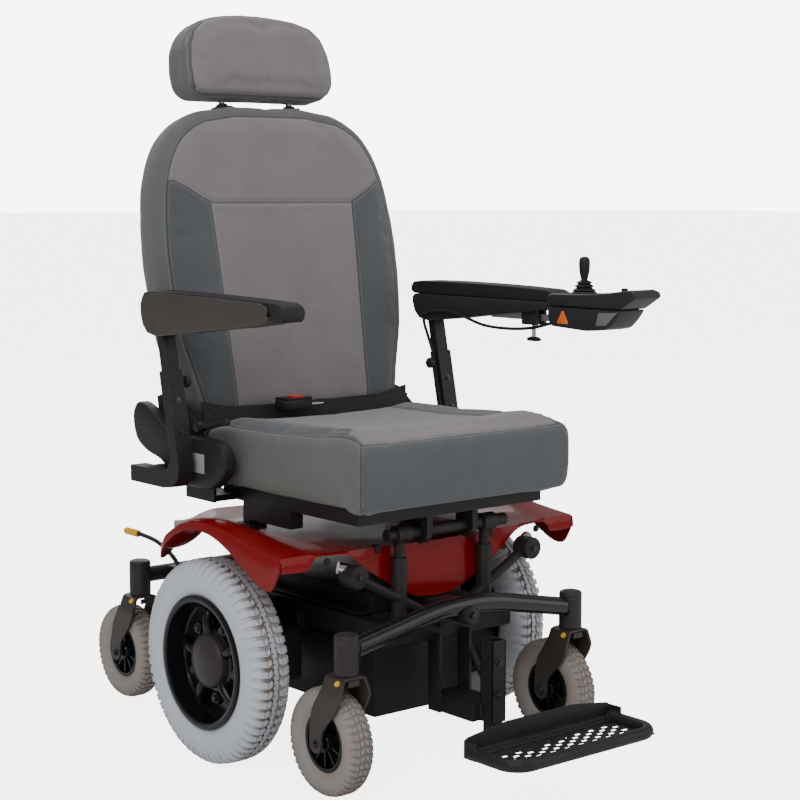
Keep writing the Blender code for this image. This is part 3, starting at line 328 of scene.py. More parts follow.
def read_curve(table, value):
    """A smooth reading of a table of (place, height)."""
    if value <= table[0][0]:
        return table[0][1]
    for k, ((a, fa), (b, fb)) in enumerate(zip(table, table[1:])):
        if a <= value <= b:
            before = table[max(k - 1, 0)]
            after = table[min(k + 2, len(table) - 1)]
            start = (fb - before[1]) / (b - before[0]) if k else (fb - fa) / (b - a)
            end = (after[1] - fa) / (after[0] - a) if k + 2 < len(table) else (fb - fa) / (b - a)
            t = (value - a) / (b - a)
            return ((1 + 2 * t) * (1 - t) ** 2 * fa + t * (1 - t) ** 2 * (b - a) * start
                    + t * t * (3 - 2 * t) * fb + t * t * (t - 1) * (b - a) * end)
    return table[-1][1]


# ---- finishes ------------------------------------------------------------------------
def add_node(tree, kind, inputs=None, **settings):
    """A shader node whose inputs are values or other nodes' sockets."""
    made = tree.nodes.new("ShaderNode" + kind)
    for label, value in settings.items():
        setattr(made, label, value)
    for label, value in (inputs or {}).items():
        socket = made.inputs[label]
        if isinstance(value, bpy.types.NodeSocket):
            tree.links.new(value, socket)
        else:
            socket.default_value = value
    return made


def calc(tree, operation, *values, clamp=False):
    return add_node(tree, "Math", dict(enumerate(values)), operation=operation,
                    use_clamp=clamp).outputs[0]


def mix_colour(tree, factor, a, b):
    made = add_node(tree, "Mix", {0: factor, 6: a, 7: b}, data_type="RGBA")
    return made.outputs[2]


def rgb(colour):
    return (*colour, 1.0)


def new_group(name, inputs, outputs):
    tree = bpy.data.node_groups.new(name, "ShaderNodeTree")
    for label, value in inputs:
        tree.interface.new_socket(label, in_out="INPUT",
                                  socket_type="NodeSocketFloat").default_value = value
    for label in outputs:
        tree.interface.new_socket(label, in_out="OUTPUT", socket_type="NodeSocketFloat")
    ins = tree.nodes.new("NodeGroupInput").outputs
    outs = tree.nodes.new("NodeGroupOutput").inputs
    return tree, ins, outs


def use_group(tree, group, inputs):
    made = tree.nodes.new("ShaderNodeGroup")
    made.node_tree = group
    for label, value in inputs.items():
        made.inputs[label].default_value = value
    return made.outputs


def grain_group():
    """Fine moulded or powder-coated grain, with a slower drift of tone."""
    tree, ins, outs = new_group("fine_grain", [("Size", 0.001), ("Drift", 0.08)],
                                ["Height", "Tone"])
    place = add_node(tree, "TexCoord").outputs["Object"]
    scale = calc(tree, "DIVIDE", 1.0, ins["Size"])
    fine = add_node(tree, "TexNoise", {"Vector": place, "Scale": scale, "Detail": 2.0})
    slow_scale = calc(tree, "DIVIDE", 1.0, ins["Drift"])
    slow = add_node(tree, "TexNoise", {"Vector": place, "Scale": slow_scale, "Detail": 5.0})
    tree.links.new(fine.outputs["Fac"], outs["Height"])
    tree.links.new(slow.outputs["Fac"], outs["Tone"])
    return tree


def wear_and_highlight_group():
    """Where edges stick out: rubbed wear from hands or kerbs, and also a painted highlight along
    every sharp edge.
    """
    tree, ins, outs = new_group("rubbed_and_highlit_edges", [("Amount", 6.0), ("Patches", 0.5)], ["Mask"])
    place = add_node(tree, "TexCoord").outputs["Object"]
    rounded = add_node(tree, "Bevel", {"Radius": 0.0018}, samples=6).outputs[0]
    true = add_node(tree, "NewGeometry").outputs["Normal"]
    same = add_node(tree, "VectorMath", {0: rounded, 1: true},
                    operation="DOT_PRODUCT").outputs["Value"]
    edge = calc(tree, "MULTIPLY", calc(tree, "SUBTRACT", 0.97, same), ins["Amount"], clamp=True)
    noise = add_node(tree, "TexNoise", {"Vector": place, "Scale": 130.0, "Detail": 4.0})
    patch = calc(tree, "SUBTRACT", noise.outputs["Fac"], ins["Patches"])
    patch = calc(tree, "MULTIPLY", patch, 7.0, clamp=True)
    tree.links.new(calc(tree, "MULTIPLY", edge, patch, clamp=True), outs["Mask"])
    return tree


def weave_group():
    """Round yarns crossing each other, the same on a face that looks any way."""
    tree, ins, outs = new_group("knit_weave", [("Pitch", 0.0016)], ["Height", "Tone", "Fuzz"])
    place = add_node(tree, "TexCoord").outputs["Object"]
    parts = add_node(tree, "SeparateXYZ", {"Vector": place})
    turn = calc(tree, "DIVIDE", 2 * math.pi, ins["Pitch"])
    waves = [calc(tree, "SINE", calc(tree, "MULTIPLY", parts.outputs[axis],
                                     turn)) for axis in "XYZ"]
    crossing = calc(tree, "MULTIPLY", calc(tree, "ADD", waves[0], waves[1]), waves[2])
    plain = calc(tree, "MULTIPLY", waves[0], waves[1])
    height = calc(tree, "MULTIPLY_ADD", calc(tree, "ADD", crossing, plain), 0.25, 0.5)
    tree.links.new(height, outs["Height"])
    slow = add_node(tree, "TexNoise", {"Vector": place, "Scale": 14.0, "Detail": 4.0})
    tree.links.new(slow.outputs["Fac"], outs["Tone"])
    fuzz = add_node(tree, "TexNoise", {"Vector": place, "Scale": 420.0, "Detail": 3.0})
    tree.links.new(fuzz.outputs["Fac"], outs["Fuzz"])
    return tree


GRAIN = grain_group()
WEAR_AND_HIGHLIGHT = wear_and_highlight_group()
WEAVE = weave_group()


def new_material(name, roughness, metallic=0.0, **sockets):
    material = bpy.data.materials.new(name)
    material.use_nodes = True
    tree = material.node_tree
    shader = tree.nodes["Principled BSDF"]
    shader.inputs["Roughness"].default_value = roughness
    shader.inputs["Metallic"].default_value = metallic
    for label, value in sockets.items():
        shader.inputs[label.replace("_", " ")].default_value = value
    return material, tree, shader


def roughen(tree, shader, tone, low, high):
    spread = add_node(tree, "MapRange", {"Value": tone, "From Min": 0.3, "From Max": 0.7,
                                         "To Min": low, "To Max": high})
    tree.links.new(spread.outputs[0], shader.inputs["Roughness"])


def bump(tree, shader, height, strength, distance, corner=0.0):
    made = add_node(tree, "Bump", {"Height": height, "Strength": strength, "Distance": distance})
    if corner:
        soft = add_node(tree, "Bevel", {"Radius": corner}, samples=4)
        tree.links.new(soft.outputs[0], made.inputs["Normal"])
    tree.links.new(made.outputs[0], shader.inputs["Normal"])


def hard_finish(name, colour, rubbed_and_highlit, roughness, grain=0.0008, depth=0.35, coat=0.0, metallic=0.0,
                corner=0.0, rubbing_and_highlight=5.0, drift=0.09):
    """Powder coat, moulded plastic or plated steel: grain, uneven gloss, and edges lightened partly
    as rubbed wear and partly as painted highlight.
    """
    low, high = roughness
    material, tree, shader = new_material(name, low, metallic, Coat_Weight=coat,
                                          Coat_Roughness=0.08,
                                          Specular_IOR_Level=0.5 if metallic else 0.22)
    fine = use_group(tree, GRAIN, {"Size": grain, "Drift": drift})
    worn_and_highlit = use_group(tree, WEAR_AND_HIGHLIGHT, {"Amount": rubbing_and_highlight, "Patches": 0.47})
    dark = tuple(c * 0.82 for c in colour)
    light = tuple(min(1.0, c * 1.18 + 0.002) for c in colour)
    drifted = mix_colour(tree, fine["Tone"], rgb(dark), rgb(light))
    # edges take the lighter colour: partly rubbed wear, partly a painted highlight along every
    # sharp edge
    tree.links.new(mix_colour(tree, worn_and_highlit["Mask"], drifted, rgb(rubbed_and_highlit)),
                   shader.inputs["Base Color"])
    roughen(tree, shader, fine["Tone"], low, high)
    bump(tree, shader, fine["Height"], depth, grain * 0.4, corner)
    return material


def paint_finish(name, colour):
    """Metallic automotive paint under a clear coat, with faint orange peel."""
    material, tree, shader = new_material(name, 0.3, 0.0, Coat_Weight=0.22, Coat_Roughness=0.05,
                                          Specular_IOR_Level=0.12)
    flakes = use_group(tree, GRAIN, {"Size": 0.0005, "Drift": 0.03})
    deep = tuple(c * 0.72 for c in colour)
    bright = tuple(min(1.0, c * 1.5 + 0.004) for c in colour)
    flecked = mix_colour(tree, flakes["Height"], rgb(deep), rgb(bright))
    tree.links.new(flecked, shader.inputs["Base Color"])
    peel = use_group(tree, GRAIN, {"Size": 0.012, "Drift": 0.15})
    roughen(tree, shader, peel["Tone"], 0.22, 0.34)
    bump(tree, shader, peel["Height"], 0.06, 0.002)
    return material


def tyre_finish(name, colour, dust):
    """Non-marking rubber; the attribute dust says where the road has coloured it."""
    material, tree, shader = new_material(name, 0.75)
    fine = use_group(tree, GRAIN, {"Size": 0.0012, "Drift": 0.035})
    ground = add_node(tree, "Attribute", attribute_name="dust").outputs["Fac"]
    patch = calc(tree, "MULTIPLY_ADD", fine["Tone"], 1.7, -0.15, clamp=True)
    mask = calc(tree, "MULTIPLY", ground, patch, clamp=True)
    clean = mix_colour(tree, fine["Tone"], rgb(tuple(c * 0.9 for c in colour)),
                       rgb(tuple(min(1, c * 1.1) for c in colour)))
    tree.links.new(mix_colour(tree, mask, clean, rgb(dust)), shader.inputs["Base Color"])
    roughen(tree, shader, fine["Tone"], 0.62, 0.85)
    bump(tree, shader, fine["Height"], 0.25, 0.0005)
    return material


SEAM_SHARPNESS = 1400.0
STITCH = 0.0052
THREAD_INSET = 0.0042


def cloth_finish(name, light, dark, side, pitch=0.0017):
    """Knitted upholstery in three tones, sewn where the attributes cross zero, with painted shade
    darkening the cloth along each seam.

    light is above zero on the pale panels, side on the outer panels and yoke above the
    seam between two pale panels.
    """
    material, tree, shader = new_material(name, 0.9, 0.0, Sheen_Weight=0.25, Sheen_Roughness=0.5)
    weave = use_group(tree, WEAVE, {"Pitch": pitch})
    lines = {n: add_node(tree, "Attribute", attribute_name=n).outputs["Fac"] for n in ("light",
                                                                                       "side",
                                                                                       "yoke")}
    pale = calc(tree, "MULTIPLY_ADD", lines["light"], SEAM_SHARPNESS, 0.5, clamp=True)
    outer = calc(tree, "MULTIPLY_ADD", lines["side"], SEAM_SHARPNESS, 0.5, clamp=True)
    colour = mix_colour(tree, pale, rgb(dark), rgb(light))
    colour = mix_colour(tree, outer, colour, rgb(side))
    tone = calc(tree, "MULTIPLY_ADD", weave["Tone"], 0.3, 0.85)
    tone = calc(tree, "MULTIPLY", tone, calc(tree, "MULTIPLY_ADD", weave["Fuzz"], 0.36, 0.82))
    tone = calc(tree, "MULTIPLY", tone, calc(tree, "MULTIPLY_ADD", weave["Height"], 0.24, 0.88))
    nearest = calc(tree, "MINIMUM", calc(tree, "ABSOLUTE", lines["side"]),
                   calc(tree, "MINIMUM", calc(tree, "ABSOLUTE", lines["light"]),
                        calc(tree, "ABSOLUTE", lines["yoke"])))
    # painted shade: the cloth's tone darkens by up to 55% along each seam's groove
    groove = calc(tree, "MULTIPLY_ADD", nearest, 1100.0, -0.6, clamp=True)
    tone = calc(tree, "MULTIPLY", tone, calc(tree, "MULTIPLY_ADD", groove, 0.55, 0.45))
    place = add_node(tree, "SeparateXYZ", {"Vector": add_node(tree, "TexCoord").outputs["Object"]})
    run = calc(tree, "ADD", calc(tree, "ADD", place.outputs["X"], place.outputs["Y"]),
               place.outputs["Z"])
    dash = calc(tree, "SINE", calc(tree, "MULTIPLY", run, 2 * math.pi / STITCH))
    dash = calc(tree, "MULTIPLY_ADD", dash, 4.0, 1.2, clamp=True)
    beside = calc(tree, "ABSOLUTE", calc(tree, "SUBTRACT", nearest, THREAD_INSET))
    thread = calc(tree, "MULTIPLY_ADD", beside, -1800.0, 1.3, clamp=True)
    thread = calc(tree, "MULTIPLY", thread, dash)
    shaded = add_node(tree, "Mix", {0: 1.0, 6: colour, 7: tone}, data_type="RGBA",
                      blend_type="MULTIPLY").outputs[2]
    sewn = mix_colour(tree, calc(tree, "MULTIPLY", thread, 0.42), shaded,
                      rgb(tuple(c * 1.9 for c in light)))
    tree.links.new(sewn, shader.inputs["Base Color"])
    height = calc(tree, "ADD", weave["Height"], calc(tree, "MULTIPLY", thread, 1.5))
    bump(tree, shader, height, 0.35, 0.0004)
    return material


def woven_finish(name, colour, pitch, sheen=0.2):
    """Woven strap or cloth."""
    material, tree, shader = new_material(name, 0.85, 0.0, Sheen_Weight=sheen)
    weave = use_group(tree, WEAVE, {"Pitch": pitch})
    tone = mix_colour(tree, weave["Height"], rgb(tuple(c * 0.6 for c in colour)),
                      rgb(tuple(c * 1.3 for c in colour)))
    tree.links.new(tone, shader.inputs["Base Color"])
    roughen(tree, shader, weave["Tone"], 0.75, 0.95)
    bump(tree, shader, weave["Height"], 0.6, 0.0005)
    return material


FRAME_BLACK = hard_finish("frame_black", (0.018, 0.016, 0.015), (0.1, 0.09, 0.085), (0.36, 0.5),
                          0.0009, 0.4, corner=0.0012)
GLOSS_BLACK = hard_finish("gloss_black", (0.012, 0.011, 0.012), (0.06, 0.055, 0.05), (0.14, 0.24),
                          0.004, 0.08, coat=0.35)
# black satin paint with a warm reflection painted into its colour, brown-grey as black paint looks
# on its lit side
SATIN_BLACK_PAINTED_LIT = hard_finish("satin_black_painted_lit", (0.034, 0.03, 0.028), (0.16, 0.14, 0.13), (0.38, 0.5),
                          0.0007, 0.3, corner=0.001)
FORK_BROWN = hard_finish("fork_brown", (0.046, 0.039, 0.035), (0.14, 0.12, 0.11), (0.36, 0.48),
                         0.0009, 0.35)
MOULD_BLACK = hard_finish("moulded_black", (0.018, 0.018, 0.02), (0.07, 0.07, 0.07), (0.38, 0.55),
                          0.0006, 0.5, corner=0.001)
# black moulding with warm light painted into its colour: the lit copy used for the near arm's shell
MOULD_BLACK_PAINTED_LIT = hard_finish("moulded_black_painted_lit", (0.056, 0.05, 0.046), (0.15, 0.135, 0.125), (0.42, 0.56),
                          0.0006, 0.5)
POD_BLACK = hard_finish("pod_black", (0.026, 0.027, 0.03), (0.08, 0.08, 0.085), (0.34, 0.46),
                        0.0005, 0.45)
POD_GREY = hard_finish("pod_grey", (0.16, 0.155, 0.15), (0.3, 0.3, 0.3), (0.4, 0.5), 0.0005, 0.45)
PAD_SKIN = hard_finish("pad_skin", (0.018, 0.018, 0.021), (0.07, 0.07, 0.075), (0.42, 0.6), 0.0013,
                       0.55)
RIM_SATIN = hard_finish("rim_satin", (0.036, 0.031, 0.029), (0.14, 0.12, 0.11), (0.3, 0.42), 0.0008,
                        0.25)
RIM_GLOSS = hard_finish("rim_gloss", (0.004, 0.005, 0.006), (0.03, 0.03, 0.03), (0.14, 0.24), 0.004,
                        0.06, coat=0.15)
STEEL = hard_finish("bright_steel", (0.55, 0.55, 0.56), (0.8, 0.8, 0.8), (0.16, 0.3), 0.0006, 0.1,
                    metallic=1.0)
BOLT_BLACK = hard_finish("bolt_black", (0.03, 0.03, 0.032), (0.2, 0.2, 0.2), (0.3, 0.42), 0.0006,
                         0.2, metallic=0.6)
GRIP_YELLOW = hard_finish("grip_yellow", (0.8, 0.44, 0.015), (0.9, 0.6, 0.2), (0.35, 0.5), 0.0008,
                          0.3)
BUTTON_RED = hard_finish("button_red", (0.8, 0.02, 0.01), (0.9, 0.2, 0.15), (0.25, 0.38), 0.0007,
                         0.2)
ORANGE = hard_finish("reflector_orange", (0.9, 0.16, 0.01), (0.95, 0.4, 0.1), (0.2, 0.35), 0.0012,
                     0.5, coat=0.5)
PLATE_GREY = hard_finish("plate_grey", (0.3, 0.3, 0.3), (0.5, 0.5, 0.5), (0.3, 0.42), 0.0008, 0.15)
JACKET = hard_finish("cable_jacket", (0.014, 0.014, 0.015), (0.05, 0.05, 0.05), (0.4, 0.55), 0.0008,
                     0.3)
RED_PAINT = paint_finish("red_paint", (0.19, 0.0006, 0.001))
TYRE_PALE = tyre_finish("tyre_pale", (0.56, 0.59, 0.64), (0.22, 0.17, 0.14))
TYRE_WARM = tyre_finish("tyre_warm", (0.29, 0.255, 0.235), (0.2, 0.165, 0.14))
CLOTH = cloth_finish("upholstery", (0.196, 0.18, 0.178), (0.076, 0.083, 0.09),
                     (0.106, 0.112, 0.103))
WEBBING = woven_finish("belt_webbing", (0.016, 0.016, 0.018), 0.0022)
SKIRT = woven_finish("skirt_cloth", (0.017, 0.018, 0.02), 0.0014, 0.1)


# ---- camera, light and floor ---------------------------------------------------------
CAMERA_PLACE = (-1.9878, -2.5136, 0.9762)
CAMERA_AIM = Vector((0.632, 0.7665, -0.1128))
LENS_MM, SENSOR_MM = 81.05, 36.0
LAMP_AIM = Vector((0, 0, 0.6))
# name, place, width in metres, power in watts
LAMPS = (("key", (-3.2, -2.6, 3.4), 3.2, 125.0), ("fill", (2.8, -3.0, 1.9), 3.0, 42.0),
         ("top", (0.2, 0.4, 4.2), 3.4, 62.0), ("back", (1.4, 3.4, 2.6), 2.6, 48.0))
# the second strength lights the chair; the camera sees the sum of both
SEEN_STRENGTH, LIGHT_STRENGTH = 7.0, 0.34
FLOOR_GLOW = 4.5
FLOOR_SIZE, FLOOR_DROP = 90.0, 0.0005


def set_stage():
    """Camera, four lamps, a bright backdrop and the floor."""
    lens = bpy.data.cameras.new("view")
    lens.lens = LENS_MM
    lens.sensor_width = SENSOR_MM
    camera = bpy.data.objects.new("camera", lens)
    camera.location = CAMERA_PLACE
    camera.rotation_euler = CAMERA_AIM.to_track_quat("-Z", "Y").to_euler()
    SCENE.collection.objects.link(camera)
    SCENE.camera = camera
    for name, place, size, power in LAMPS:
        lamp = bpy.data.lights.new(name, "AREA")
        lamp.size = size
        lamp.energy = power
        light = bpy.data.objects.new(name, lamp)
        light.location = place
        light.rotation_euler = (LAMP_AIM - Vector(place)).to_track_quat("-Z", "Y").to_euler()
        SCENE.collection.objects.link(light)
    world = bpy.data.worlds.new("studio")
    world.use_nodes = True
    backdrop = world.node_tree.nodes["Background"]
    backdrop.inputs["Color"].default_value = (1.0, 1.0, 1.0, 1.0)
    seen = add_node(world.node_tree, "LightPath").outputs["Is Camera Ray"]
    strength = calc(world.node_tree, "MULTIPLY_ADD", seen, SEEN_STRENGTH, LIGHT_STRENGTH)
    world.node_tree.links.new(strength, backdrop.inputs["Strength"])
    SCENE.world = world
    bm = bmesh.new()
    bmesh.ops.create_grid(bm, x_segments=1, y_segments=1, size=FLOOR_SIZE)
    bmesh.ops.translate(bm, vec=(0, 0, -FLOOR_DROP), verts=bm.verts)
    mesh = bpy.data.meshes.new("floor")
    bm.to_mesh(mesh)
    bm.free()
    pale, tree, shader = new_material("floor_pale", 0.85)
    shader.inputs["Base Color"].default_value = (0.9, 0.9, 0.9, 1.0)
    shader.inputs["Emission Color"].default_value = (1.0, 1.0, 1.0, 1.0)
    seen = add_node(tree, "LightPath").outputs["Is Camera Ray"]
    tree.links.new(calc(tree, "MULTIPLY", seen, FLOOR_GLOW), shader.inputs["Emission Strength"])
    mesh.materials.append(pale)
    floor = bpy.data.objects.new("floor", mesh)
    SCENE.collection.objects.link(floor)


set_stage()


# ---- wheels --------------------------------------------------------------------------
def mark_dust(bm, dusty):
    """Store how much road dust each point of a tyre holds."""
    layer = bm.verts.layers.float.new("dust")
    for vert in bm.verts:
        vert[layer] = dusty(vert.co)


def repeat_around(bm, seed, centre, count):
    """Copy some vertices' faces evenly about a wheel's axle."""
    geometry = list(seed) + list({e for v in seed for e in v.link_edges}) + list(faces_of(seed))
    bmesh.ops.spin(bm, geom=geometry, cent=centre, axis=(1, 0, 0), dvec=(0, 0, 0),
                   angle=2 * math.pi * (count - 1) / count, steps=count - 1, use_duplicate=True)


def add_lug(bm, centre, outline, width, skew=0.0, phase=0.0):
    """A tread block: its (across, radius) outline, as wide as width along the rolling way."""
    made = add_plate(bm, outline, -width / 2, width / 2, "Y")
    for vert in made:
        vert.co.y += skew * vert.co.x
    bmesh.ops.rotate(bm, cent=(0, 0, 0), matrix=Matrix.Rotation(phase, 3, "X"), verts=made)
    bmesh.ops.translate(bm, vec=centre, verts=made)
    return made


def add_tread(bm, centre, lugs, outline, *shape):
    """A ring of lugs about a wheel."""
    repeat_around(bm, add_lug(bm, centre, outline, *shape), centre, lugs)


def make_drive_tyre(side, sign):
    """Treaded pneumatic tyre with moulded sidewall steps."""
    centre = Vector((sign * WHEEL_X, AXLE.y, AXLE.z))
    r, half = TYRE_R, TYRE_HALF
    carcass = r - 0.0042
    bm = bmesh.new()
    shoulder = [(BEAD_R, half - 0.0125), (BEAD_R + 0.0066, half - 0.0085),
                (BEAD_R + 0.0085, half - 0.0072),
                (BEAD_R + 0.012, half - 0.0052), (BEAD_R + 0.015, half - 0.0036),
                (BEAD_R + 0.0158, half - 0.003),
                (BEAD_R + 0.02, half - 0.0016), (BEAD_R + 0.03, half - 0.0003),
                (BEAD_R + 0.04, half - 0.0004),
                (BEAD_R + 0.0465, half - 0.0018), (carcass - 0.012, half - 0.0052),
                (carcass - 0.005, half - 0.011),
                (carcass - 0.0014, half - 0.018), (carcass - 0.0002, half - 0.027), (carcass, 0.0)]
    section = shoulder + [(radius, -h) for radius, h in reversed(shoulder[:-1])]
    add_turned(bm, section, centre, (1, 0, 0), 96, closed=True)
    lugs = 62
    turn = 2 * math.pi / lugs
    pitch = turn * r
    for way in (-1, 1):
        edge = [(way * (half - 0.0225), carcass - 0.004), (way * (half - 0.0225), r - 0.0006),
                (way * (half - 0.015), r - 0.0018), (way * (half - 0.008), r - 0.0068),
                (way * (half - 0.002), r - 0.016), (way * (half - 0.0004), r - 0.0245),
                (way * (half - 0.0032), r - 0.0245), (way * (half - 0.012), carcass - 0.01)]
        add_tread(bm, centre, lugs, edge, pitch * 0.56, way * 0.12)
        block = [(way * (half - 0.0245), carcass - 0.003), (way * (half - 0.0245), r - 0.0004),
                 (way * 0.0075, r), (way * 0.0075, carcass - 0.003)]
        add_tread(bm, centre, lugs, block, pitch * 0.5, way * -0.55, turn / 2)
    rib = [(-0.0042, carcass - 0.003), (-0.0042, r), (0.0042, r), (0.0042, carcass - 0.003)]
    for way in (-1, 1):
        add_tread(bm, centre, lugs, rib, pitch * 0.49, way * 0.5, turn * way / 4)

    def dusty(point):
        across = abs(point.x - centre.x)
        out = math.hypot(point.y - centre.y, point.z - centre.z)
        depth = min(1.0, max(0.0, (r - 0.0008 - out) / 0.003))
        inside = min(1.0, max(0.0, (half - 0.0125 - across) / 0.006))
        return inside * (0.12 + 0.88 * depth) + (0.35 if across < 0.012 else 0.0) * inside

    mark_dust(bm, dusty)
    finish(bm, "drive_tyre_tread_" + side, "wheel_" + side, TYRE_PALE, 40, "drive_tyre_" + side)


def make_drive_rim(side, sign):
    """Dished rim with spokes, a domed cap and wheel bolts."""
    centre = Vector((sign * WHEEL_X, AXLE.y, AXLE.z))
    out = Vector((sign, 0, 0))
    lip = BEAD_R + 0.0065
    flange = TYRE_HALF - 0.0065
    inner = BEAD_R - 0.0065
    bm = bmesh.new()
    ring = [(lip, flange), (lip, flange + 0.003), (lip - 0.0015, flange + 0.0042),
            (inner + 0.004, flange + 0.0044),
            (inner + 0.0015, flange + 0.003), (inner, flange - 0.003), (inner - 0.0015, 0.006),
            (inner - 0.004, 0.001),
            (inner - 0.004, -0.004), (inner, -0.008), (inner, -flange),
            (inner + 0.003, -flange - 0.003),
            (lip, -flange - 0.003), (lip, -flange), (BEAD_R - 0.0006, -flange + 0.007),
            (BEAD_R - 0.0006, flange - 0.007)]
    add_turned(bm, ring, centre, out, 72, closed=True, index=1)
    web = [(0, 0.003), (inner - 0.006, 0.000), (inner - 0.003, 0.003), (inner - 0.003, -0.006),
           (0.036, -0.008), (0.03, -0.014), (0.03, -0.03), (0.0135, -0.03), (0.0135, -0.012),
           (0, -0.012)]
    add_turned(bm, web, centre, out, 60, index=1)
    hub = [(0.0475, 0.002), (0.0475, 0.0185), (0.0462, 0.0212), (0.0415, 0.025), (0.034, 0.0285),
           (0.024, 0.0312), (0.012, 0.0328), (0, 0.0334)]
    cap = add_turned(bm, hub, centre, out, 56)
    bottom = [v for v in cap if (v.co - centre).dot(out) < 0.0021]
    bmesh.ops.contextual_create(bm, geom=bottom)
    add_turned(bm, [(0.058, 0.001), (0.0565, 0.007), (0.0515, 0.0095), (0.048, 0.0098),
                    (0.048, 0.001)],
               centre, out, 48, index=1)
    spokes = 5
    for k in range(spokes):
        angle = 2 * math.pi * (k + 0.15) / spokes
        way = Vector((0, math.cos(angle), math.sin(angle)))
        route = [centre + way * reach + out * height for reach, height in
                 ((0.04, 0.004), (0.05, 0.01), (0.064, 0.012), (0.08, 0.0095), (0.092, 0.004),
                  (0.1, -0.0005))]
        add_route(bm, smooth_route(route, 3), [0.0105 - 0.00022 * n for n in range(16)], 14,
                  index=1)
        angle += math.pi / spokes
        way = Vector((0, math.cos(angle), math.sin(angle)))
        seat = centre + way * 0.066 + out * 0.001
        add_rod(bm, seat, seat + out * 0.006, 0.0115, 20, end_radius=0.0095, index=1)
        add_bolt(bm, seat + out * 0.006, out, 0.0062, index=2)
    finish(bm, "drive_wheel_" + side, "wheel_" + side, [RIM_SATIN, RIM_GLOSS, BOLT_BLACK], 38,
           "drive_rim_" + side)


def make_caster(name):
    """Folded fork, ribbed rim and lugged tyre of one caster."""
    tyre = middle("caster_tyre_" + name)
    radius = extent("caster_tyre_" + name).z / 2
    half = extent("caster_tyre_" + name).x / 2
    pivot = joint_place("swivel_" + name)
    bead = 0.05
    bm = bmesh.new()
    carcass = radius - 0.0022
    shoulder = [(bead + 0.0003, half - 0.009), (bead + 0.006, half - 0.0036),
                (bead + 0.012, half - 0.001),
                (bead + 0.02, half), (carcass - 0.012, half - 0.001),
                (carcass - 0.006, half - 0.0036),
                (carcass - 0.002, half - 0.0085), (carcass - 0.0002, half - 0.015), (carcass, 0)]
    section = shoulder + [(r, -h) for r, h in reversed(shoulder[:-1])]
    add_turned(bm, section, tyre, (1, 0, 0), 64, closed=True)
    lugs = 44
    turn = 2 * math.pi / lugs
    pitch = turn * radius
    for way in (-1, 1):
        edge = [(way * (half - 0.014), carcass - 0.003), (way * (half - 0.014), radius - 0.0004),
                (way * (half - 0.0085), radius - 0.002), (way * (half - 0.003), radius - 0.0062),
                (way * (half - 0.0012), radius - 0.012), (way * (half - 0.006), carcass - 0.01)]
        add_tread(bm, tyre, lugs, edge, pitch * 0.62, way * 0.15)
        block = [(way * (half - 0.0158), carcass - 0.002), (way * (half - 0.0158), radius - 0.0002),
                 (way * 0.0012, radius), (way * 0.0012, carcass - 0.002)]
        add_tread(bm, tyre, lugs, block, pitch * 0.55, way * -0.5, turn / 2)

    def dusty(point):
        out = math.hypot(point.y - tyre.y, point.z - tyre.z)
        across = abs(point.x - tyre.x)
        if across > half - 0.006 or out < radius - 0.008:
            return 0.0
        return 0.25 + 0.75 * min(1.0, max(0.0, (radius - 0.0004 - out) / 0.0016))

    mark_dust(bm, dusty)
    finish(bm, "caster_tread_" + name, "caster_" + name, TYRE_WARM, 40, "caster_tyre_" + name)

    bm = bmesh.new()
    rim = [(bead - 0.0003, half - 0.0092), (bead - 0.003, half - 0.0078),
           (bead - 0.0065, half - 0.0085),
           (bead - 0.0085, half - 0.0135), (bead - 0.0095, 0.0045), (0.019, 0.003),
           (0.0175, half - 0.007),
           (0.016, half - 0.005), (0.0064, half - 0.0048)]
    section = rim + [(r, -h) for r, h in reversed(rim)]
    add_turned(bm, section, tyre, (1, 0, 0), 48, closed=True)
    ribs = 10
    for way in (-1, 1):
        for k in range(ribs):
            angle = 2 * math.pi * k / ribs
            turned = Matrix.Translation(tyre) @ Matrix.Rotation(angle, 4, "X")
            add_side_box(bm, way, (0.003, -0.0016, 0.017), (half - 0.0115, 0.0016, bead - 0.009),
                         turn=turned)
    finish(bm, "caster_wheel_" + name, "caster_" + name, RIM_GLOSS, 40, "caster_rim_" + name)
    make_fork(name, pivot, tyre, half)


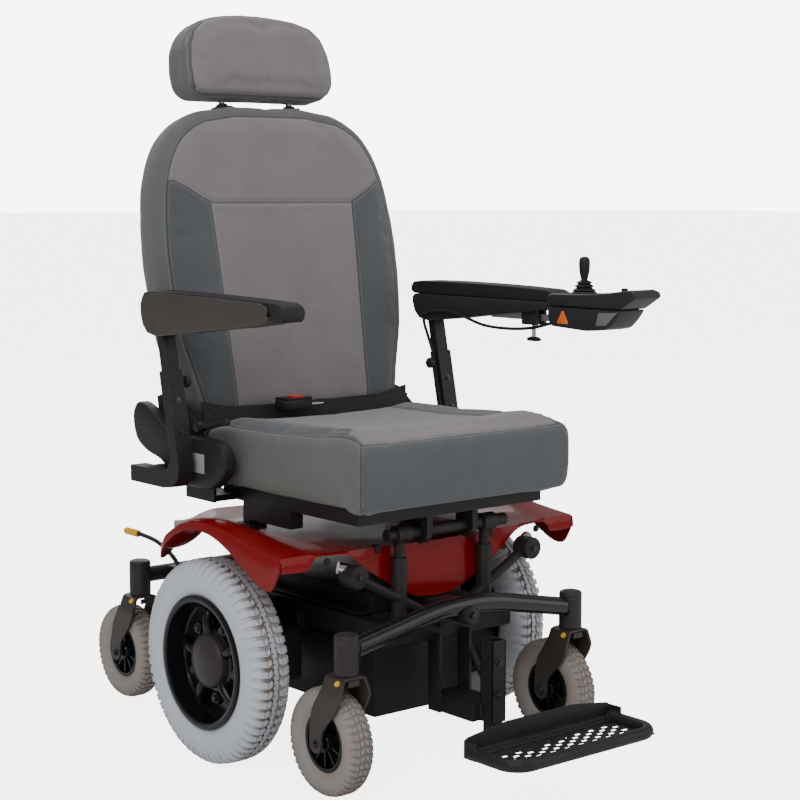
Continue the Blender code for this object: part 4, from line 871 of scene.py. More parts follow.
def make_fork(name, pivot, axle, half):
    """One strip of sheet steel, folded over the wheel, with its stem and axle bolt."""
    top = pivot.z - 0.0006
    sheet = 0.0042
    reach = half + 0.0085
    trail = axle.y - pivot.y
    along = [(0.0, top), (0.012, top), (0.0185, top - 0.0006), (0.0235, top - 0.0035),
             (reach - 0.0035, top - 0.021),
             (reach - 0.0006, top - 0.0275), (reach, top - 0.034)]
    straight = 9
    last = along[-1][1]
    along += [(reach, last + (axle.z + 0.002 - last) * (k + 1) / straight) for k in range(straight)]
    along += [(reach, axle.z - 0.0148 * math.sin(math.radians(a))) for a in (20, 40, 58, 73, 85)]
    front = [(0.0, -0.0215), (0.034, -0.0215), (0.06, -0.008), (0.095, trail - 0.0185),
             (0.12, trail - 0.015)]
    rear = [(0.0, 0.0255), (0.022, 0.0275), (0.034, 0.033), (0.06, trail + 0.008),
            (0.095, trail + 0.0145), (0.12, trail + 0.015)]
    bm = bmesh.new()
    rows = 7
    count = 2 * len(along) - 1
    grid = bmesh.ops.create_grid(bm, x_segments=count - 1, y_segments=rows - 1, size=1.0)["verts"]
    for vert in grid:
        step = round((vert.co.x + 1) / 2 * (count - 1)) - (len(along) - 1)
        share = (vert.co.y + 1) / 2
        across, height = along[abs(step)]
        drop = top - height
        low, high = read_curve(front, drop), read_curve(rear, drop)
        if height < axle.z:
            chord = math.sqrt(max(0.0, 0.015 ** 2 - (axle.z - height) ** 2))
            low, high = trail - chord, trail + chord
        vert.co = Vector((pivot.x + math.copysign(across, step) if step else pivot.x,
                          pivot.y + low + (high - low) * share, height))
    thicken_below(bm, sheet, lambda face: face.calc_center_median().z)
    add_rod(bm, (pivot.x, pivot.y, top - 0.004), (pivot.x, pivot.y, pivot.z + 0.05), 0.0085, 20,
            index=1)
    spot = Vector((pivot.x, pivot.y - 0.0216, top - 0.01))
    add_rod(bm, (pivot.x - reach - 0.002, axle.y, axle.z),
            (pivot.x + reach + 0.002, axle.y, axle.z), 0.0058, 18, index=1)
    for sign in (-1, 1):
        face = Vector((pivot.x + sign * (reach + 0.0002), axle.y, axle.z))
        add_rod(bm, face - Vector((sign * 0.01, 0, 0)), face, 0.0095, 20, index=1)
        add_bolt(bm, face, (sign, 0, 0), 0.005, index=1)
        shoulder = Vector((pivot.x + sign * 0.0262, pivot.y - 0.01, top - 0.009))
        normal = Vector((sign * 0.72, -0.1, 0.69)).normalized()
        add_rod(bm, shoulder - normal * 0.001, shoulder + normal * 0.0016, 0.005, 18, index=2)
    add_box(bm, spot - Vector((0.011, -0.001, 0.006)), spot + Vector((0.011, 0.0035, 0.004)), 0.001,
            index=0)
    finish(bm, "folded_fork_" + name, "swivel_" + name, [FORK_BROWN, BOLT_BLACK, GRIP_YELLOW], 30,
           "caster_fork_" + name)


def add_barrel(bm, x, y, base, index=0):
    """Caster bearing barrel with its pressed cap."""
    r = 0.0205
    profile = [(0.0093, 0), (r - 0.0012, 0), (r, 0.0012), (r, 0.0545), (r - 0.0006, 0.0552),
               (r - 0.0006, 0.056),
               (r, 0.0567), (r, 0.0625), (r - 0.0012, 0.065), (r - 0.0045, 0.0666), (0.008, 0.067),
               (0, 0.067)]
    made = add_turned(bm, profile, (x, y, base), (0, 0, 1), 36, index=index)
    bore = [v for v in made if abs(v.co.z - base) < 1e-5 and math.hypot(v.co.x - x,
                                                                        v.co.y - y) < 0.0095]
    bmesh.ops.contextual_create(bm, geom=bore)


def make_front_beam():
    """Arched tube that rocks on the frame and carries both front casters."""
    pivot = joint_place("swivel_front_right")
    x, base = pivot.x, pivot.z
    y = BEAM_Y
    half = [(x - 0.006, base + 0.038), (0.62 * x, base + 0.056), (0.27 * x, base + 0.073)]
    knots = [(-u, y, z) for u, z in half] + [(0, y, base + 0.077)] + [(u, y, z) for u,
                                                                      z in reversed(half)]
    bm = bmesh.new()
    add_route(bm, smooth_route(knots, 8), 0.0162, 28)
    add_rod(bm, (0, y - 0.022, BEAM_PIVOT_Z), (0, y + 0.022, BEAM_PIVOT_Z), 0.0164, 36, edge=0.0012,
            index=1)
    add_bolt(bm, (0, y - 0.022, BEAM_PIVOT_Z), (0, -1, 0), 0.0075, index=2)
    for sign in (-1, 1):
        add_barrel(bm, sign * x, y, base, index=3)
        weld = [Vector((sign * (x - 0.0195), y, base + 0.0392)) + Vector((sign * 0.002,
                                                                          0.0165 * math.cos(a),
                                                                          0.0165 * math.sin(a)))
                for a in (2 * math.pi * k / 24 for k in range(25))]
        add_route(bm, weld, 0.0022, 8, index=0)
    finish(bm, "arched_beam", "front_beam", [GLOSS_BLACK, FRAME_BLACK, BOLT_BLACK, SATIN_BLACK_PAINTED_LIT], 32,
           "front_beam")


def make_rear_carrier():
    """Cross tube between the rear casters, on two arms of the frame."""
    pivot = joint_place("swivel_rear_right")
    x, base = pivot.x, pivot.z
    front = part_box("rear_carrier")[0].y
    bm = bmesh.new()
    add_rod(bm, (-x, pivot.y, base + 0.036), (x, pivot.y, base + 0.036), 0.015, 28)
    for sign in (-1, 1):
        add_side_box(bm, sign, (0.1125, front, FRAME_Z + 0.004), (0.1375, pivot.y, FRAME_Z + 0.034),
                     0.002)
        add_barrel(bm, sign * x, pivot.y, base, index=1)
        for step in (0.012, 0.034):
            add_bolt(bm, (sign * 0.1375, front + step, FRAME_Z + 0.019), (sign, 0, 0), 0.006,
                     index=2)
    finish(bm, "caster_carrier", "chassis", [FRAME_BLACK, SATIN_BLACK_PAINTED_LIT, BOLT_BLACK], 32,
           "rear_carrier")


# ---- base ----------------------------------------------------------------------------
def make_chassis():
    """Rails, cross members, seat post sleeves, stays and the footrest's hanger."""
    z = FRAME_Z
    post_y = middle("seat_riser_front").y + 0.005
    rail_x = 0.125
    upright = Vector((POST_X, middle("seat_riser_rear").y, 0))
    bm = bmesh.new()
    add_box(bm, (-rail_x - 0.02, post_y - 0.018, z), (rail_x + 0.02, post_y + 0.017, z + 0.04),
            0.003)
    add_box(bm, (-rail_x - 0.02, 0.34, z), (rail_x + 0.02, 0.375, z + 0.04), 0.003)
    add_box(bm, (-0.03, post_y - 0.028, z + 0.02), (0.03, post_y + 0.016, BEAM_PIVOT_Z + 0.019),
            0.003)
    add_rod(bm, (0, post_y, BEAM_PIVOT_Z), (0, BEAM_Y - 0.011, BEAM_PIVOT_Z), 0.008, 20)
    stay_z = DECK_Z - 0.038
    for sign in (-1, 1):
        add_side_box(bm, sign, (rail_x - 0.0125, post_y - 0.005, z + 0.001),
                     (rail_x + 0.0125, 0.373, z + 0.039), 0.002)
        x = sign * 0.096
        top = TILT.z - 0.04
        sleeve = [(0.0096, 0), (0.0133, 0), (0.0133, top - z - 0.0235), (0.0128, top - z - 0.0225),
                  (0.01, top - z - 0.0225), (0.0096, top - z - 0.026)]
        add_turned(bm, sleeve, (x, post_y, z + 0.022), (0, 0, 1), 36, closed=True)
        add_turned(bm, [(0.0133, 0), (0.0162, 0.0006), (0.0162, 0.0052), (0.0133, 0.0062)],
                   (x, post_y, z + 0.039),
                   (0, 0, 1), 28)
        add_side_box(bm, sign, (rail_x, upright.y - 0.022, z + 0.01),
                     (upright.x, upright.y + 0.028, z + 0.037), 0.002)
        add_square_tube(bm, (sign * upright.x, upright.y), 0.0155, 0.0035, z + 0.0105,
                        DECK_Z - 0.052, 0.0008)
        add_side_box(bm, sign, (rail_x, 0.0, z - 0.015), (0.1497, 0.074, z + 0.02), 0.003)
        end = Vector((sign * 0.1956, post_y, stay_z))
        foot = Vector((sign * 0.02, post_y - 0.006, z + 0.035))
        add_route(bm, [end, foot], 0.0088, 20)
        add_rod(bm, end + Vector((0, -0.02, 0)), end + Vector((0, 0.013, 0)), 0.0198, 36,
                edge=0.002)
        stub = end + Vector((-sign * 0.006, 0.004, 0.008))
        add_rod(bm, stub, stub + Vector((sign * 0.024, 0.012, 0.006)), 0.0105, 24, index=2)
        add_bolt(bm, end + Vector((0, -0.02, 0)), (0, -1, 0), 0.0045, index=1, washer=False)
        add_box(bm, (sign * 0.0335 - 0.003, post_y - 0.0355, 0.101),
                (sign * 0.0335 + 0.003, post_y - 0.005, z + 0.012), 0.001)
    add_box(bm, (-0.034, -0.3335, 0.1022), (0.034, -0.224, 0.1318), 0.002)
    add_route(bm, [(0.036, post_y - 0.03, 0.205), (0.036, -0.3, 0.136)], 0.0058, 8)
    tube_half = 0.0153
    add_square_tube(bm, (0, FOOT_POST_Y), tube_half, 0.0026, 0.1024, 0.2418, 0.0006)
    for height in (0.15, 0.205):
        add_bolt(bm, (0, FOOT_POST_Y - tube_half, height), (0, -1, 0), 0.005, index=1)
    for sign in (-1, 1):
        for y in (0.01, 0.18):
            add_bolt(bm, (sign * (rail_x + 0.0125), y, z + 0.02), (sign, 0, 0), 0.0065, index=1)
    finish(bm, "base_frame", "chassis", [FRAME_BLACK, BOLT_BLACK, STEEL], 32, "chassis_frame")


def make_battery_box():
    """The lidded box, with its pressed panel and hold-down."""
    low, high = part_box("battery_box")
    bm = bmesh.new()
    add_box(bm, (-0.1018, low.y, low.z), (0.1018, high.y, 0.264), 0.004)
    add_box(bm, (-0.1295, low.y + 0.008, 0.2656), (0.1295, high.y - 0.011, 0.2692), 0.0012)
    add_box(bm, (-0.101, low.y + 0.004, 0.266), (0.101, high.y - 0.004, high.z), 0.006)
    for sign in (-1, 1):
        add_side_box(bm, sign, (0.101, low.y + 0.035, low.z + 0.02),
                     (0.1034, high.y - 0.035, 0.205), 0.0012)
    add_box(bm, (-0.08, low.y - 0.0012, low.z + 0.022), (0.08, low.y + 0.004, 0.2), 0.0012)
    finish(bm, "battery_case", "chassis", MOULD_BLACK, 32, "battery_box")


def make_motor(side, sign):
    """Gearbox block, finned motor can and axle stub."""
    low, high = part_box("motor_" + side)
    x = sign * 0.19
    can = 0.0395
    bm = bmesh.new()
    gearbox_face = 0.235
    add_side_box(bm, sign, (0.15, low.y, low.z), (gearbox_face, 0.13, high.z), 0.012, segments=4)
    add_rod(bm, (x, 0.12, AXLE.z), (x, high.y - 0.012, AXLE.z), can, 48, edge=0.002)
    add_rod(bm, (x, high.y - 0.012, AXLE.z), (x, high.y, AXLE.z), can, 48, end_radius=0.03)
    for k in range(4):
        y = 0.15 + 0.028 * k
        add_turned(bm, [(can, 0), (0.04, 0.0006), (0.04, 0.004), (can, 0.0046)], (x, y, AXLE.z),
                   (0, 1, 0), 40)
    add_rod(bm, (sign * 0.23, AXLE.y, AXLE.z), (sign * 0.262, AXLE.y, AXLE.z), 0.024, 36,
            edge=0.002)
    add_rod(bm, (sign * 0.258, AXLE.y, AXLE.z), (sign * 0.296, AXLE.y, AXLE.z), 0.0118, 24, index=1)
    for y, z in ((0.0, 0.15), (0.0, 0.208), (0.108, 0.15), (0.108, 0.208)):
        add_bolt(bm, (sign * gearbox_face, y, z), (sign, 0, 0), 0.0045, index=1)
    finish(bm, "gear_motor_" + side, "chassis", [FRAME_BLACK, BOLT_BLACK], 32, "motor_" + side)


def make_footrest():
    """Sliding post with its holes and foot, and the plate it carries."""
    low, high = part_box("footrest_post")
    hinge = joint_place("footplate")
    post_y = FOOT_POST_Y
    bm = bmesh.new()
    add_box(bm, (-0.012, post_y - 0.012, low.z), (0.012, post_y + 0.012, high.z), 0.0016)
    for k in range(5):
        add_rod(bm, (0, post_y - 0.0122, 0.142 + 0.017 * k),
                (0, post_y - 0.0105, 0.142 + 0.017 * k), 0.0036, 16, index=1)
    add_box(bm, (-0.011, hinge.y + 0.004, low.z + 0.001), (0.011, post_y, hinge.z - 0.0045), 0.0014)
    add_rod(bm, (-0.07, hinge.y + 0.0098, hinge.z - 0.011),
            (0.07, hinge.y + 0.0098, hinge.z - 0.011), 0.006, 24, index=0)
    finish(bm, "footrest_arm", "footrest", [FRAME_BLACK, BOLT_BLACK], 32, "footrest_post")
    make_footplate(hinge)


def make_footplate(hinge):
    """Perforated tray with a tubular rim and a tall heel wall."""
    low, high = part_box("footplate")
    front, half = low.y, high.x
    rear = hinge.y
    floor = hinge.z + 0.006
    bm = bmesh.new()
    radius = 0.0105
    inset = radius + 0.0005
    corner = 0.034
    pitch_x = 0.0262
    pitch_y = 0.0165
    columns = int(2 * (half - 0.024) / pitch_x)
    rows = int((rear - front - 0.036) / pitch_y)
    grid = bmesh.ops.create_grid(bm, x_segments=columns * 2, y_segments=rows * 2, size=1.0)["verts"]
    for vert in grid:
        vert.co = Vector((vert.co.x * (half - inset - 0.001),
                          (front + rear) / 2 + vert.co.y * ((rear - front) / 2 - inset - 0.001),
                          floor))
    holes = [face for face in bm.faces if is_hole(face, columns, rows, half - inset - 0.001,
                                                  front + inset + 0.001,
                                                  rear - inset - 0.001)]
    bmesh.ops.inset_individual(bm, faces=holes, thickness=0.0011)
    bmesh.ops.delete(bm, geom=holes, context="FACES")
    thicken(bm, 0.0018)
    z = floor + 0.0045
    rim = [(-half + inset, rear - 0.012, z), (-half + inset, front + corner + 0.008, z)]
    rim += [(u, v, z) for u, v in
            arc((-half + inset + corner, front + inset + corner), corner, 180, 270, 8)]
    mirrored = [(-x, y, height) for x, y, height in reversed(rim)]
    add_route(bm, rim + mirrored, radius, 18)
    wall = [(-half + 0.004, hinge.z + 0.001), (-half + 0.004, high.z - 0.028),
            (-half + 0.012, high.z - 0.024), (-0.092, high.z - 0.015), (-0.07, high.z - 0.013),
            (0.07, high.z - 0.013), (0.092, high.z - 0.015), (half - 0.012, high.z - 0.024),
            (half - 0.004, high.z - 0.03), (half - 0.004, hinge.z + 0.001)]
    add_plate(bm, wall, rear - 0.0075, rear - 0.004, "Y", 0.0012, 2)
    add_box(bm, (-half + 0.01, rear - 0.018, floor - 0.0012),
            (half - 0.01, rear - 0.0065, floor + 0.0085), 0.003)
    add_box(bm, (-half + 0.012, rear - 0.026, floor - 0.0012),
            (half - 0.012, rear - 0.0165, floor + 0.004), 0.0018)
    for sign in (-1, 1):
        add_side_box(bm, sign, (half - 0.0075, rear - 0.032, hinge.z + 0.001),
                     (half - 0.004, rear - 0.005, hinge.z + 0.03), 0.001)
    finish(bm, "foot_tray", "footplate", MOULD_BLACK, 32, "footplate")


def is_hole(face, columns, rows, half_x, front, rear):
    """Slots in staggered rows, clear of the tray's edge."""
    centre = face.calc_center_median()
    column = int((centre.x + half_x) / (2 * half_x) * columns * 2)
    row = int((centre.y - front) / (rear - front) * rows * 2)
    inside = 1 <= column < columns * 2 - 1 and 1 <= row < rows * 2 - 2
    rounded = abs(centre.x) > half_x - 0.022 and centre.y < front + 0.022
    return inside and not rounded and (column + row) % 2 == 0


def make_freewheel_lever(side):
    """Bent release lever with a moulded grip."""
    at = joint_place("freewheel_" + side)
    knots = [at, at + Vector((0, 0.04, 0.05)), at + Vector((0, 0.1, 0.078)),
             at + Vector((0, 0.165, 0.086)),
             at + Vector((0, 0.222, 0.086))]
    bm = bmesh.new()
    add_route(bm, smooth_route(knots, 6), 0.0043, 16)
    add_rod(bm, at - Vector((0.008, 0, 0)), at + Vector((0.008, 0, 0)), 0.0098, 24, edge=0.001)
    end = at + Vector((0, 0.178, 0.086))
    grip = [(0.0043, 0), (0.0066, 0.0006), (0.0072, 0.003), (0.0072, 0.043), (0.0062, 0.0462),
            (0.0035, 0.047), (0, 0.0472)]
    add_turned(bm, grip, end, (0, 1, 0), 24, index=1)
    finish(bm, "release_lever_" + side, "freewheel_" + side, [FRAME_BLACK, GRIP_YELLOW], 40,
           "freewheel_lever_" + side)


# ---- shroud --------------------------------------------------------------------------
FENDER_CREST = [(-0.238, 0.004), (-0.15, 0.014), (-0.1, 0.024), (-0.05, 0.032), (0.0, 0.0345),
                (0.05, 0.026), (0.1, -0.002), (0.136, -0.036), (0.25, -0.014)]
FENDER_LIP = [(-0.238, -0.018), (-0.221, -0.048), (-0.205, -0.0535), (-0.18, -0.048),
              (-0.132, -0.024), (-0.1, -0.006),
              (-0.05, 0.013), (0.0, 0.0175), (0.05, 0.009), (0.1, -0.02), (0.136, -0.053),
              (0.16, -0.05), (0.25, -0.02)]
FENDER_REACH = [(-0.238, 1.0), (0.1, 1.0), (0.136, 0.965), (0.16, 0.86), (0.2, 0.75), (0.25, 0.66)]
FENDER_RISE = [(0.0, 0.0), (0.6, 0.0), (0.72, 0.34), (0.82, 0.86), (0.9, 1.0), (0.97, 0.97),
               (1.0, 0.84)]
APRON_DROP = [(0.0, 0.096), (0.045, 0.092), (0.094, 0.07), (0.148, 0.038), (0.195, 0.006),
              (0.262, 0.006),
              (0.272, 0.024), (0.34, 0.024)]
FOLD_START = 0.93


def make_shroud():
    """Glossy cover over the base: a dished deck between two wheel arches, with an apron."""
    half_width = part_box("shroud")[1].x
    front, rear = FENDER_LIP[0][0], FENDER_LIP[-1][0]
    columns, rows, apron = 96, 60, 12
    bm = bmesh.new()
    grid = bmesh.ops.create_grid(bm, x_segments=columns, y_segments=rows + apron, size=1.0)["verts"]
    for vert in grid:
        across = vert.co.x
        row = round((1 - vert.co.y) / 2 * (rows + apron))
        y = rear + (front - rear) * min(row, rows) / rows
        drop_share = max(0, row - rows) / apron
        out = (half_width - 0.0015) * read_curve(FENDER_REACH, y)
        side = abs(across)
        share = side / FOLD_START if side < FOLD_START else 1.0
        x = math.copysign(share * out, across)
        surface = read_curve(FENDER_CREST, y) * read_curve(FENDER_RISE, share)
        dish = -0.004 * math.exp(-(x / 0.09) ** 2)
        if side >= FOLD_START:
            fold = (side - FOLD_START) / 0.07
            surface += (read_curve(FENDER_LIP, y) - surface) * fold
            x = math.copysign(out - 0.0015 + 0.0025 * math.sin(fold * math.pi / 2), across)
        z = DECK_Z + surface + dish
        if drop_share:
            depth = read_curve(APRON_DROP, abs(x)) * (1 if side < FOLD_START else 0.08)
            z -= drop_share * depth
            y -= 0.003 * math.sin(drop_share * math.pi / 2)
        vert.co = Vector((x, y + AXLE.y, z))
    thicken_below(bm, 0.0028, lambda face: abs(face.normal.z))
    finish(bm, "red_shroud", "chassis", RED_PAINT, 50, "shroud")
    bm = bmesh.new()
    front_y = front + AXLE.y
    collar = 0.02
    for sign in (-1, 1):
        add_bolt(bm, (sign * 0.236, front_y - 0.003, DECK_Z - 0.012), (0, -1, 0), 0.0045)
        at = Vector((sign * POST_X, middle("seat_riser_rear").y, DECK_Z + 0.001))
        add_box(bm, at - Vector((collar, collar, 0.004)), at + Vector((collar, collar, 0.005)),
                0.002)
        clip = Vector((sign * 0.128, front_y, DECK_Z))
        add_box(bm, clip - Vector((0.005, 0.004, 0.012)), clip + Vector((0.005, 0.01, 0.003)),
                0.0015)
    finish(bm, "shroud_clips", "chassis", MOULD_BLACK, 32)


# ---- upholstery ----------------------------------------------------------------------
BACK_FRONT = 0.025
BACK_REAR = 0.12
BACK_TOP = 0.635
BACK_HALF = 0.278
BACK_SHAPE = [(0.035, 0.78), (0.06, 0.83), (0.12, 0.885), (0.21, 0.965), (0.33, 1.0), (0.43, 0.985),
              (0.51, 0.93), (0.575, 0.81), (0.612, 0.64), (0.628, 0.46), (0.6345, 0.24)]
BACK_TILT = Matrix.Translation(RECLINE) @ Matrix.Rotation(-BACK_RAKE, 4, "X")
SWELL_FRAMES = 20
INWARD_HELD = 0.85  # share of each inward move that the filling pushes back


def evaluated_mesh(piece):
    graph = bpy.context.evaluated_depsgraph_get()
    graph.update()
    return bpy.data.meshes.new_from_object(piece.evaluated_get(graph))


def read_points(mesh):
    points = np.empty(len(mesh.vertices) * 3)
    mesh.vertices.foreach_get("co", points)
    return points.reshape(-1, 3)


def read_normals(mesh):
    normals = np.empty(len(mesh.vertices) * 3)
    mesh.vertex_normals.foreach_get("vector", normals)
    return normals.reshape(-1, 3)


def move_points(points, matrix):
    """Points carried by a 4 x 4 matrix."""
    matrix = np.array(matrix)
    return points @ matrix[:3, :3].T + matrix[:3, 3]


def write_points(mesh, points):
    mesh.vertices.foreach_set("co", points.ravel())
    mesh.update()


def stuff(bm, name, voxel, cap, relax=4):
    """Swell a closed shape as a filled cover does; no point moves further than cap."""
    rough = bpy.data.meshes.new(name + "_cover")
    bmesh.ops.recalc_face_normals(bm, faces=bm.faces)
    bm.to_mesh(rough)
    bm.free()
    cover = bpy.data.objects.new(name + "_cover", rough)
    SCENE.collection.objects.link(cover)
    even = cover.modifiers.new("even", "REMESH")
    even.mode = "VOXEL"
    even.voxel_size = voxel
    start = evaluated_mesh(cover)
    cover.modifiers.remove(even)
    cover.data = start
    first = read_points(start)
    cloth = cover.modifiers.new("swell", "CLOTH")
    cloth.settings.quality = 4
    cloth.settings.use_pressure = True
    cloth.settings.uniform_pressure_force = 4.0
    cloth.settings.effector_weights.gravity = 0.0
    cloth.point_cache.frame_end = SWELL_FRAMES
    for frame_number in range(1, SWELL_FRAMES + 1):
        SCENE.frame_set(frame_number)
    moved = read_points(evaluated_mesh(cover)) - first
    normals = read_normals(start)
    inward = np.minimum((moved * normals).sum(axis=1, keepdims=True), 0.0)
    moved -= INWARD_HELD * inward * normals
    cover.modifiers.remove(cloth)
    SCENE.frame_set(1)
    far = np.linalg.norm(moved, axis=1, keepdims=True)
    moved *= cap * np.tanh(far / cap) / np.maximum(far, 1e-9)
    write_points(start, first + moved)
    calm = cover.modifiers.new("calm", "SMOOTH")
    calm.iterations = relax
    fine = cover.modifiers.new("fine", "SUBSURF")
    fine.levels = 1
    fine.render_levels = 1
    done = evaluated_mesh(cover)
    bpy.data.objects.remove(cover)
    return done


def fit_between(points, axis, low, high):
    """Stretch the stuffed cover back to its cut size along one axis."""
    values = points[:, axis]
    points[:, axis] = low + (values - values.min()) * (high - low) / (values.max() - values.min())


def round_off(points, first, second, radius):
    """Round the corner between two walls; each is (axis, place, way out)."""
    (axis_a, wall_a, out_a), (axis_b, wall_b, out_b) = first, second
    over_a = radius - (wall_a - points[:, axis_a]) * out_a
    over_b = radius - (wall_b - points[:, axis_b]) * out_b
    far = np.hypot(over_a, over_b)
    outside = (over_a > 0) & (over_b > 0) & (far > radius)
    share = np.where(outside, radius / np.maximum(far, 1e-9), 1.0)
    points[:, axis_a] -= out_a * over_a * (1 - share)
    points[:, axis_b] -= out_b * over_b * (1 - share)


def outline_distance(points, outline):
    """Distance of flat points from a closed outline."""
    nearest = np.full(len(points), 9.0)
    for a, b in zip(outline, outline[1:] + outline[:1]):
        a, b = np.array(a), np.array(b)
        run = b - a
        share = np.clip(((points - a) @ run) / max(float(run @ run), 1e-12), 0, 1)
        nearest = np.minimum(nearest, np.linalg.norm(points - a - share[:, None] * run, axis=1))
    return nearest


def sew(mesh, lines, depth=0.0022, reach=0.0065):
    """Store the seam distances and draw the cover in along them."""
    normals = read_normals(mesh)
    nearest = np.full(len(mesh.vertices), 9.0)
    for name, values in lines.items():
        layer = mesh.attributes.new(name, "FLOAT", "POINT")
        layer.data.foreach_set("value", values.astype(np.float32))
        nearest = np.minimum(nearest, np.abs(values))
    groove = depth * np.exp(-(nearest / reach * 1.6) ** 2)
    puff = 0.0006 * np.exp(-((nearest - 0.0095) / 0.004) ** 2)
    write_points(mesh, read_points(mesh) - normals * (groove - puff)[:, None])


def to_back(points):
    """Points in the back's own frame: across, through and up the rake."""
    return move_points(points, BACK_TILT.inverted())


def back_half(height):
    """Half the back's width at a height."""
    return BACK_HALF * read_curve(BACK_SHAPE, height)


def make_back_cushion():
    """Sewn backrest with a hollow, side bolsters and a yoke."""
    shrink = 0.0035
    heights = [0.035 + (BACK_TOP - 0.037) * (k / 40) ** 0.8 for k in range(41)]
    right = [(back_half(h), h) for h in heights]
    outline = right + [(-x, h) for x, h in reversed(right)]
    inner = [(x - math.copysign(shrink, x), h + (shrink if h < 0.3 else -shrink)) for x,
             h in outline]
    bm = bmesh.new()
    add_plate(bm, inner, BACK_FRONT + 0.01, BACK_REAR - 0.004, "Y", 0.024, 5, BACK_TILT)
    mesh = stuff(bm, "back", 0.0062, 0.011)
    local = to_back(read_points(mesh))
    fit_between(local, 0, -BACK_HALF + 0.001, BACK_HALF - 0.001)
    fit_between(local, 1, BACK_FRONT - 0.004, BACK_REAR)
    fit_between(local, 2, 0.036, BACK_TOP)
    across, through, up = local.T
    hollow = 0.01 * np.exp(-((up - 0.17) / 0.15) ** 2) * np.clip(1 - (np.abs(across) / 0.15) ** 2,
                                                                 0, 1)
    bolster = 0.007 * np.exp(-((np.abs(across) - 0.195) / 0.035) ** 2) * np.clip((0.46 - up) / 0.1,
                                                                                 0, 1)
    facing = np.clip((BACK_FRONT + 0.035 - through) / 0.03, 0, 1)
    local[:, 1] += (hollow - bolster * 0.6) * facing
    write_points(mesh, move_points(local, BACK_TILT))
    edge = outline_distance(local[:, (0, 2)], outline)
    side = np.maximum(0.021 - edge, through - BACK_FRONT - 0.026)
    rise = np.clip((np.abs(across) - 0.155) / 0.075, 0, 1)
    yoke = up - 0.449 - 0.042 * rise ** 1.2
    centre = 0.15 + 0.012 * np.clip((up - 0.11) / 0.34, 0, 1) - np.abs(across)
    light = np.maximum(yoke, centre)
    hidden = side > 0.004
    sew(mesh, {"side": side, "light": np.where(hidden, 1.0, light),
               "yoke": np.where(hidden, 1.0, yoke)})
    piece = finish_mesh(mesh, "back_upholstery", "backrest", CLOTH, 180, "backrest_cushion")


def make_seat():
    """Sewn seat with a front ridge, side bolsters and a dished middle."""
    low, high = SEAT_LOW, SEAT_HIGH
    base, top = low.z + 0.0095, 0.5846
    front, rear = low.y, high.y
    inset = 0.004
    outline = [(front + 0.016, low.z + 0.006), (front + 0.036, low.z + 0.006),
               (front + 0.05, base + 0.003),
               (rear - 0.03, base + 0.003), (rear - 0.01, base + 0.014),
               (rear - inset, base + 0.03),
               (rear - inset, top - 0.034), (rear - 0.016, top - 0.022), (rear - 0.05, top - 0.016),
               (-0.06, top - 0.014), (front + 0.13, top - 0.008), (front + 0.075, top + 0.002),
               (front + 0.04, top + 0.001),
               (front + 0.02, top - 0.006), (front + 0.01, top - 0.022),
               (front + inset, top - 0.062)]
    bm = bmesh.new()
    add_plate(bm, outline, low.x + inset, high.x - inset, "X", 0.016, 4)
    mesh = stuff(bm, "seat", 0.0062, 0.01)
    points = read_points(mesh)
    fit_between(points, 0, low.x + 0.001, high.x - 0.001)
    fit_between(points, 1, front + 0.001, rear - 0.001)
    ridge = 0.01 * np.exp(-((points[:, 1] - front - 0.06) / 0.05) ** 2)
    fit_between(points, 2, low.z + 0.001, high.z - 0.001)
    walls = [(0, way * (high.x - 0.001), way) for way in (-1, 1)]
    lid, floor_wall = (2, top + ridge, 1), (2, low.z + 0.001, -1)
    face = (1, front + 0.001, -1)
    for wall in walls:
        round_off(points, wall, lid, 0.04)
        round_off(points, wall, floor_wall, 0.036)
    round_off(points, face, lid, 0.034)
    round_off(points, face, floor_wall, 0.026)
    for wall in walls:
        round_off(points, wall, face, 0.026)
        round_off(points, wall, (1, rear - 0.001, 1), 0.03)
    x, y, z = points.T
    across = np.abs(x)
    upper = np.clip((z - top + 0.04) / 0.03, 0, 1)
    widening = np.clip((-0.15 - y) / 0.08, 0, 1)
    middle_half = 0.145 + 0.07 * widening ** 1.5
    bolster = np.exp(-((across - 0.195) / 0.032) ** 2) * (1 - widening)
    dish = (np.clip(1 - (across / 0.15) ** 2, 0, 1) * np.clip((y + 0.24) / 0.1, 0, 1)
            * np.clip((rear - 0.02 - y) / 0.08, 0, 1))
    points[:, 2] += upper * (0.0065 * bolster - 0.007 * dish)
    write_points(mesh, points)
    to_side, to_front, to_rear = high.x - across, y - front, rear - y
    outer = np.maximum(0.02 - np.minimum(np.minimum(to_side, to_front), to_rear), base + 0.05 - z)
    outer = np.where(upper > 0.6, np.minimum(outer, 0.02), outer)
    side = np.minimum(outer, to_front - to_side + 0.004)
    light = np.where(outer > 0, -outer, middle_half - across)
    sew(mesh, {"side": side, "light": light, "yoke": np.ones(len(x))})
    piece = finish_mesh(mesh, "seat_upholstery", "seat", CLOTH, 180, "seat_cushion")


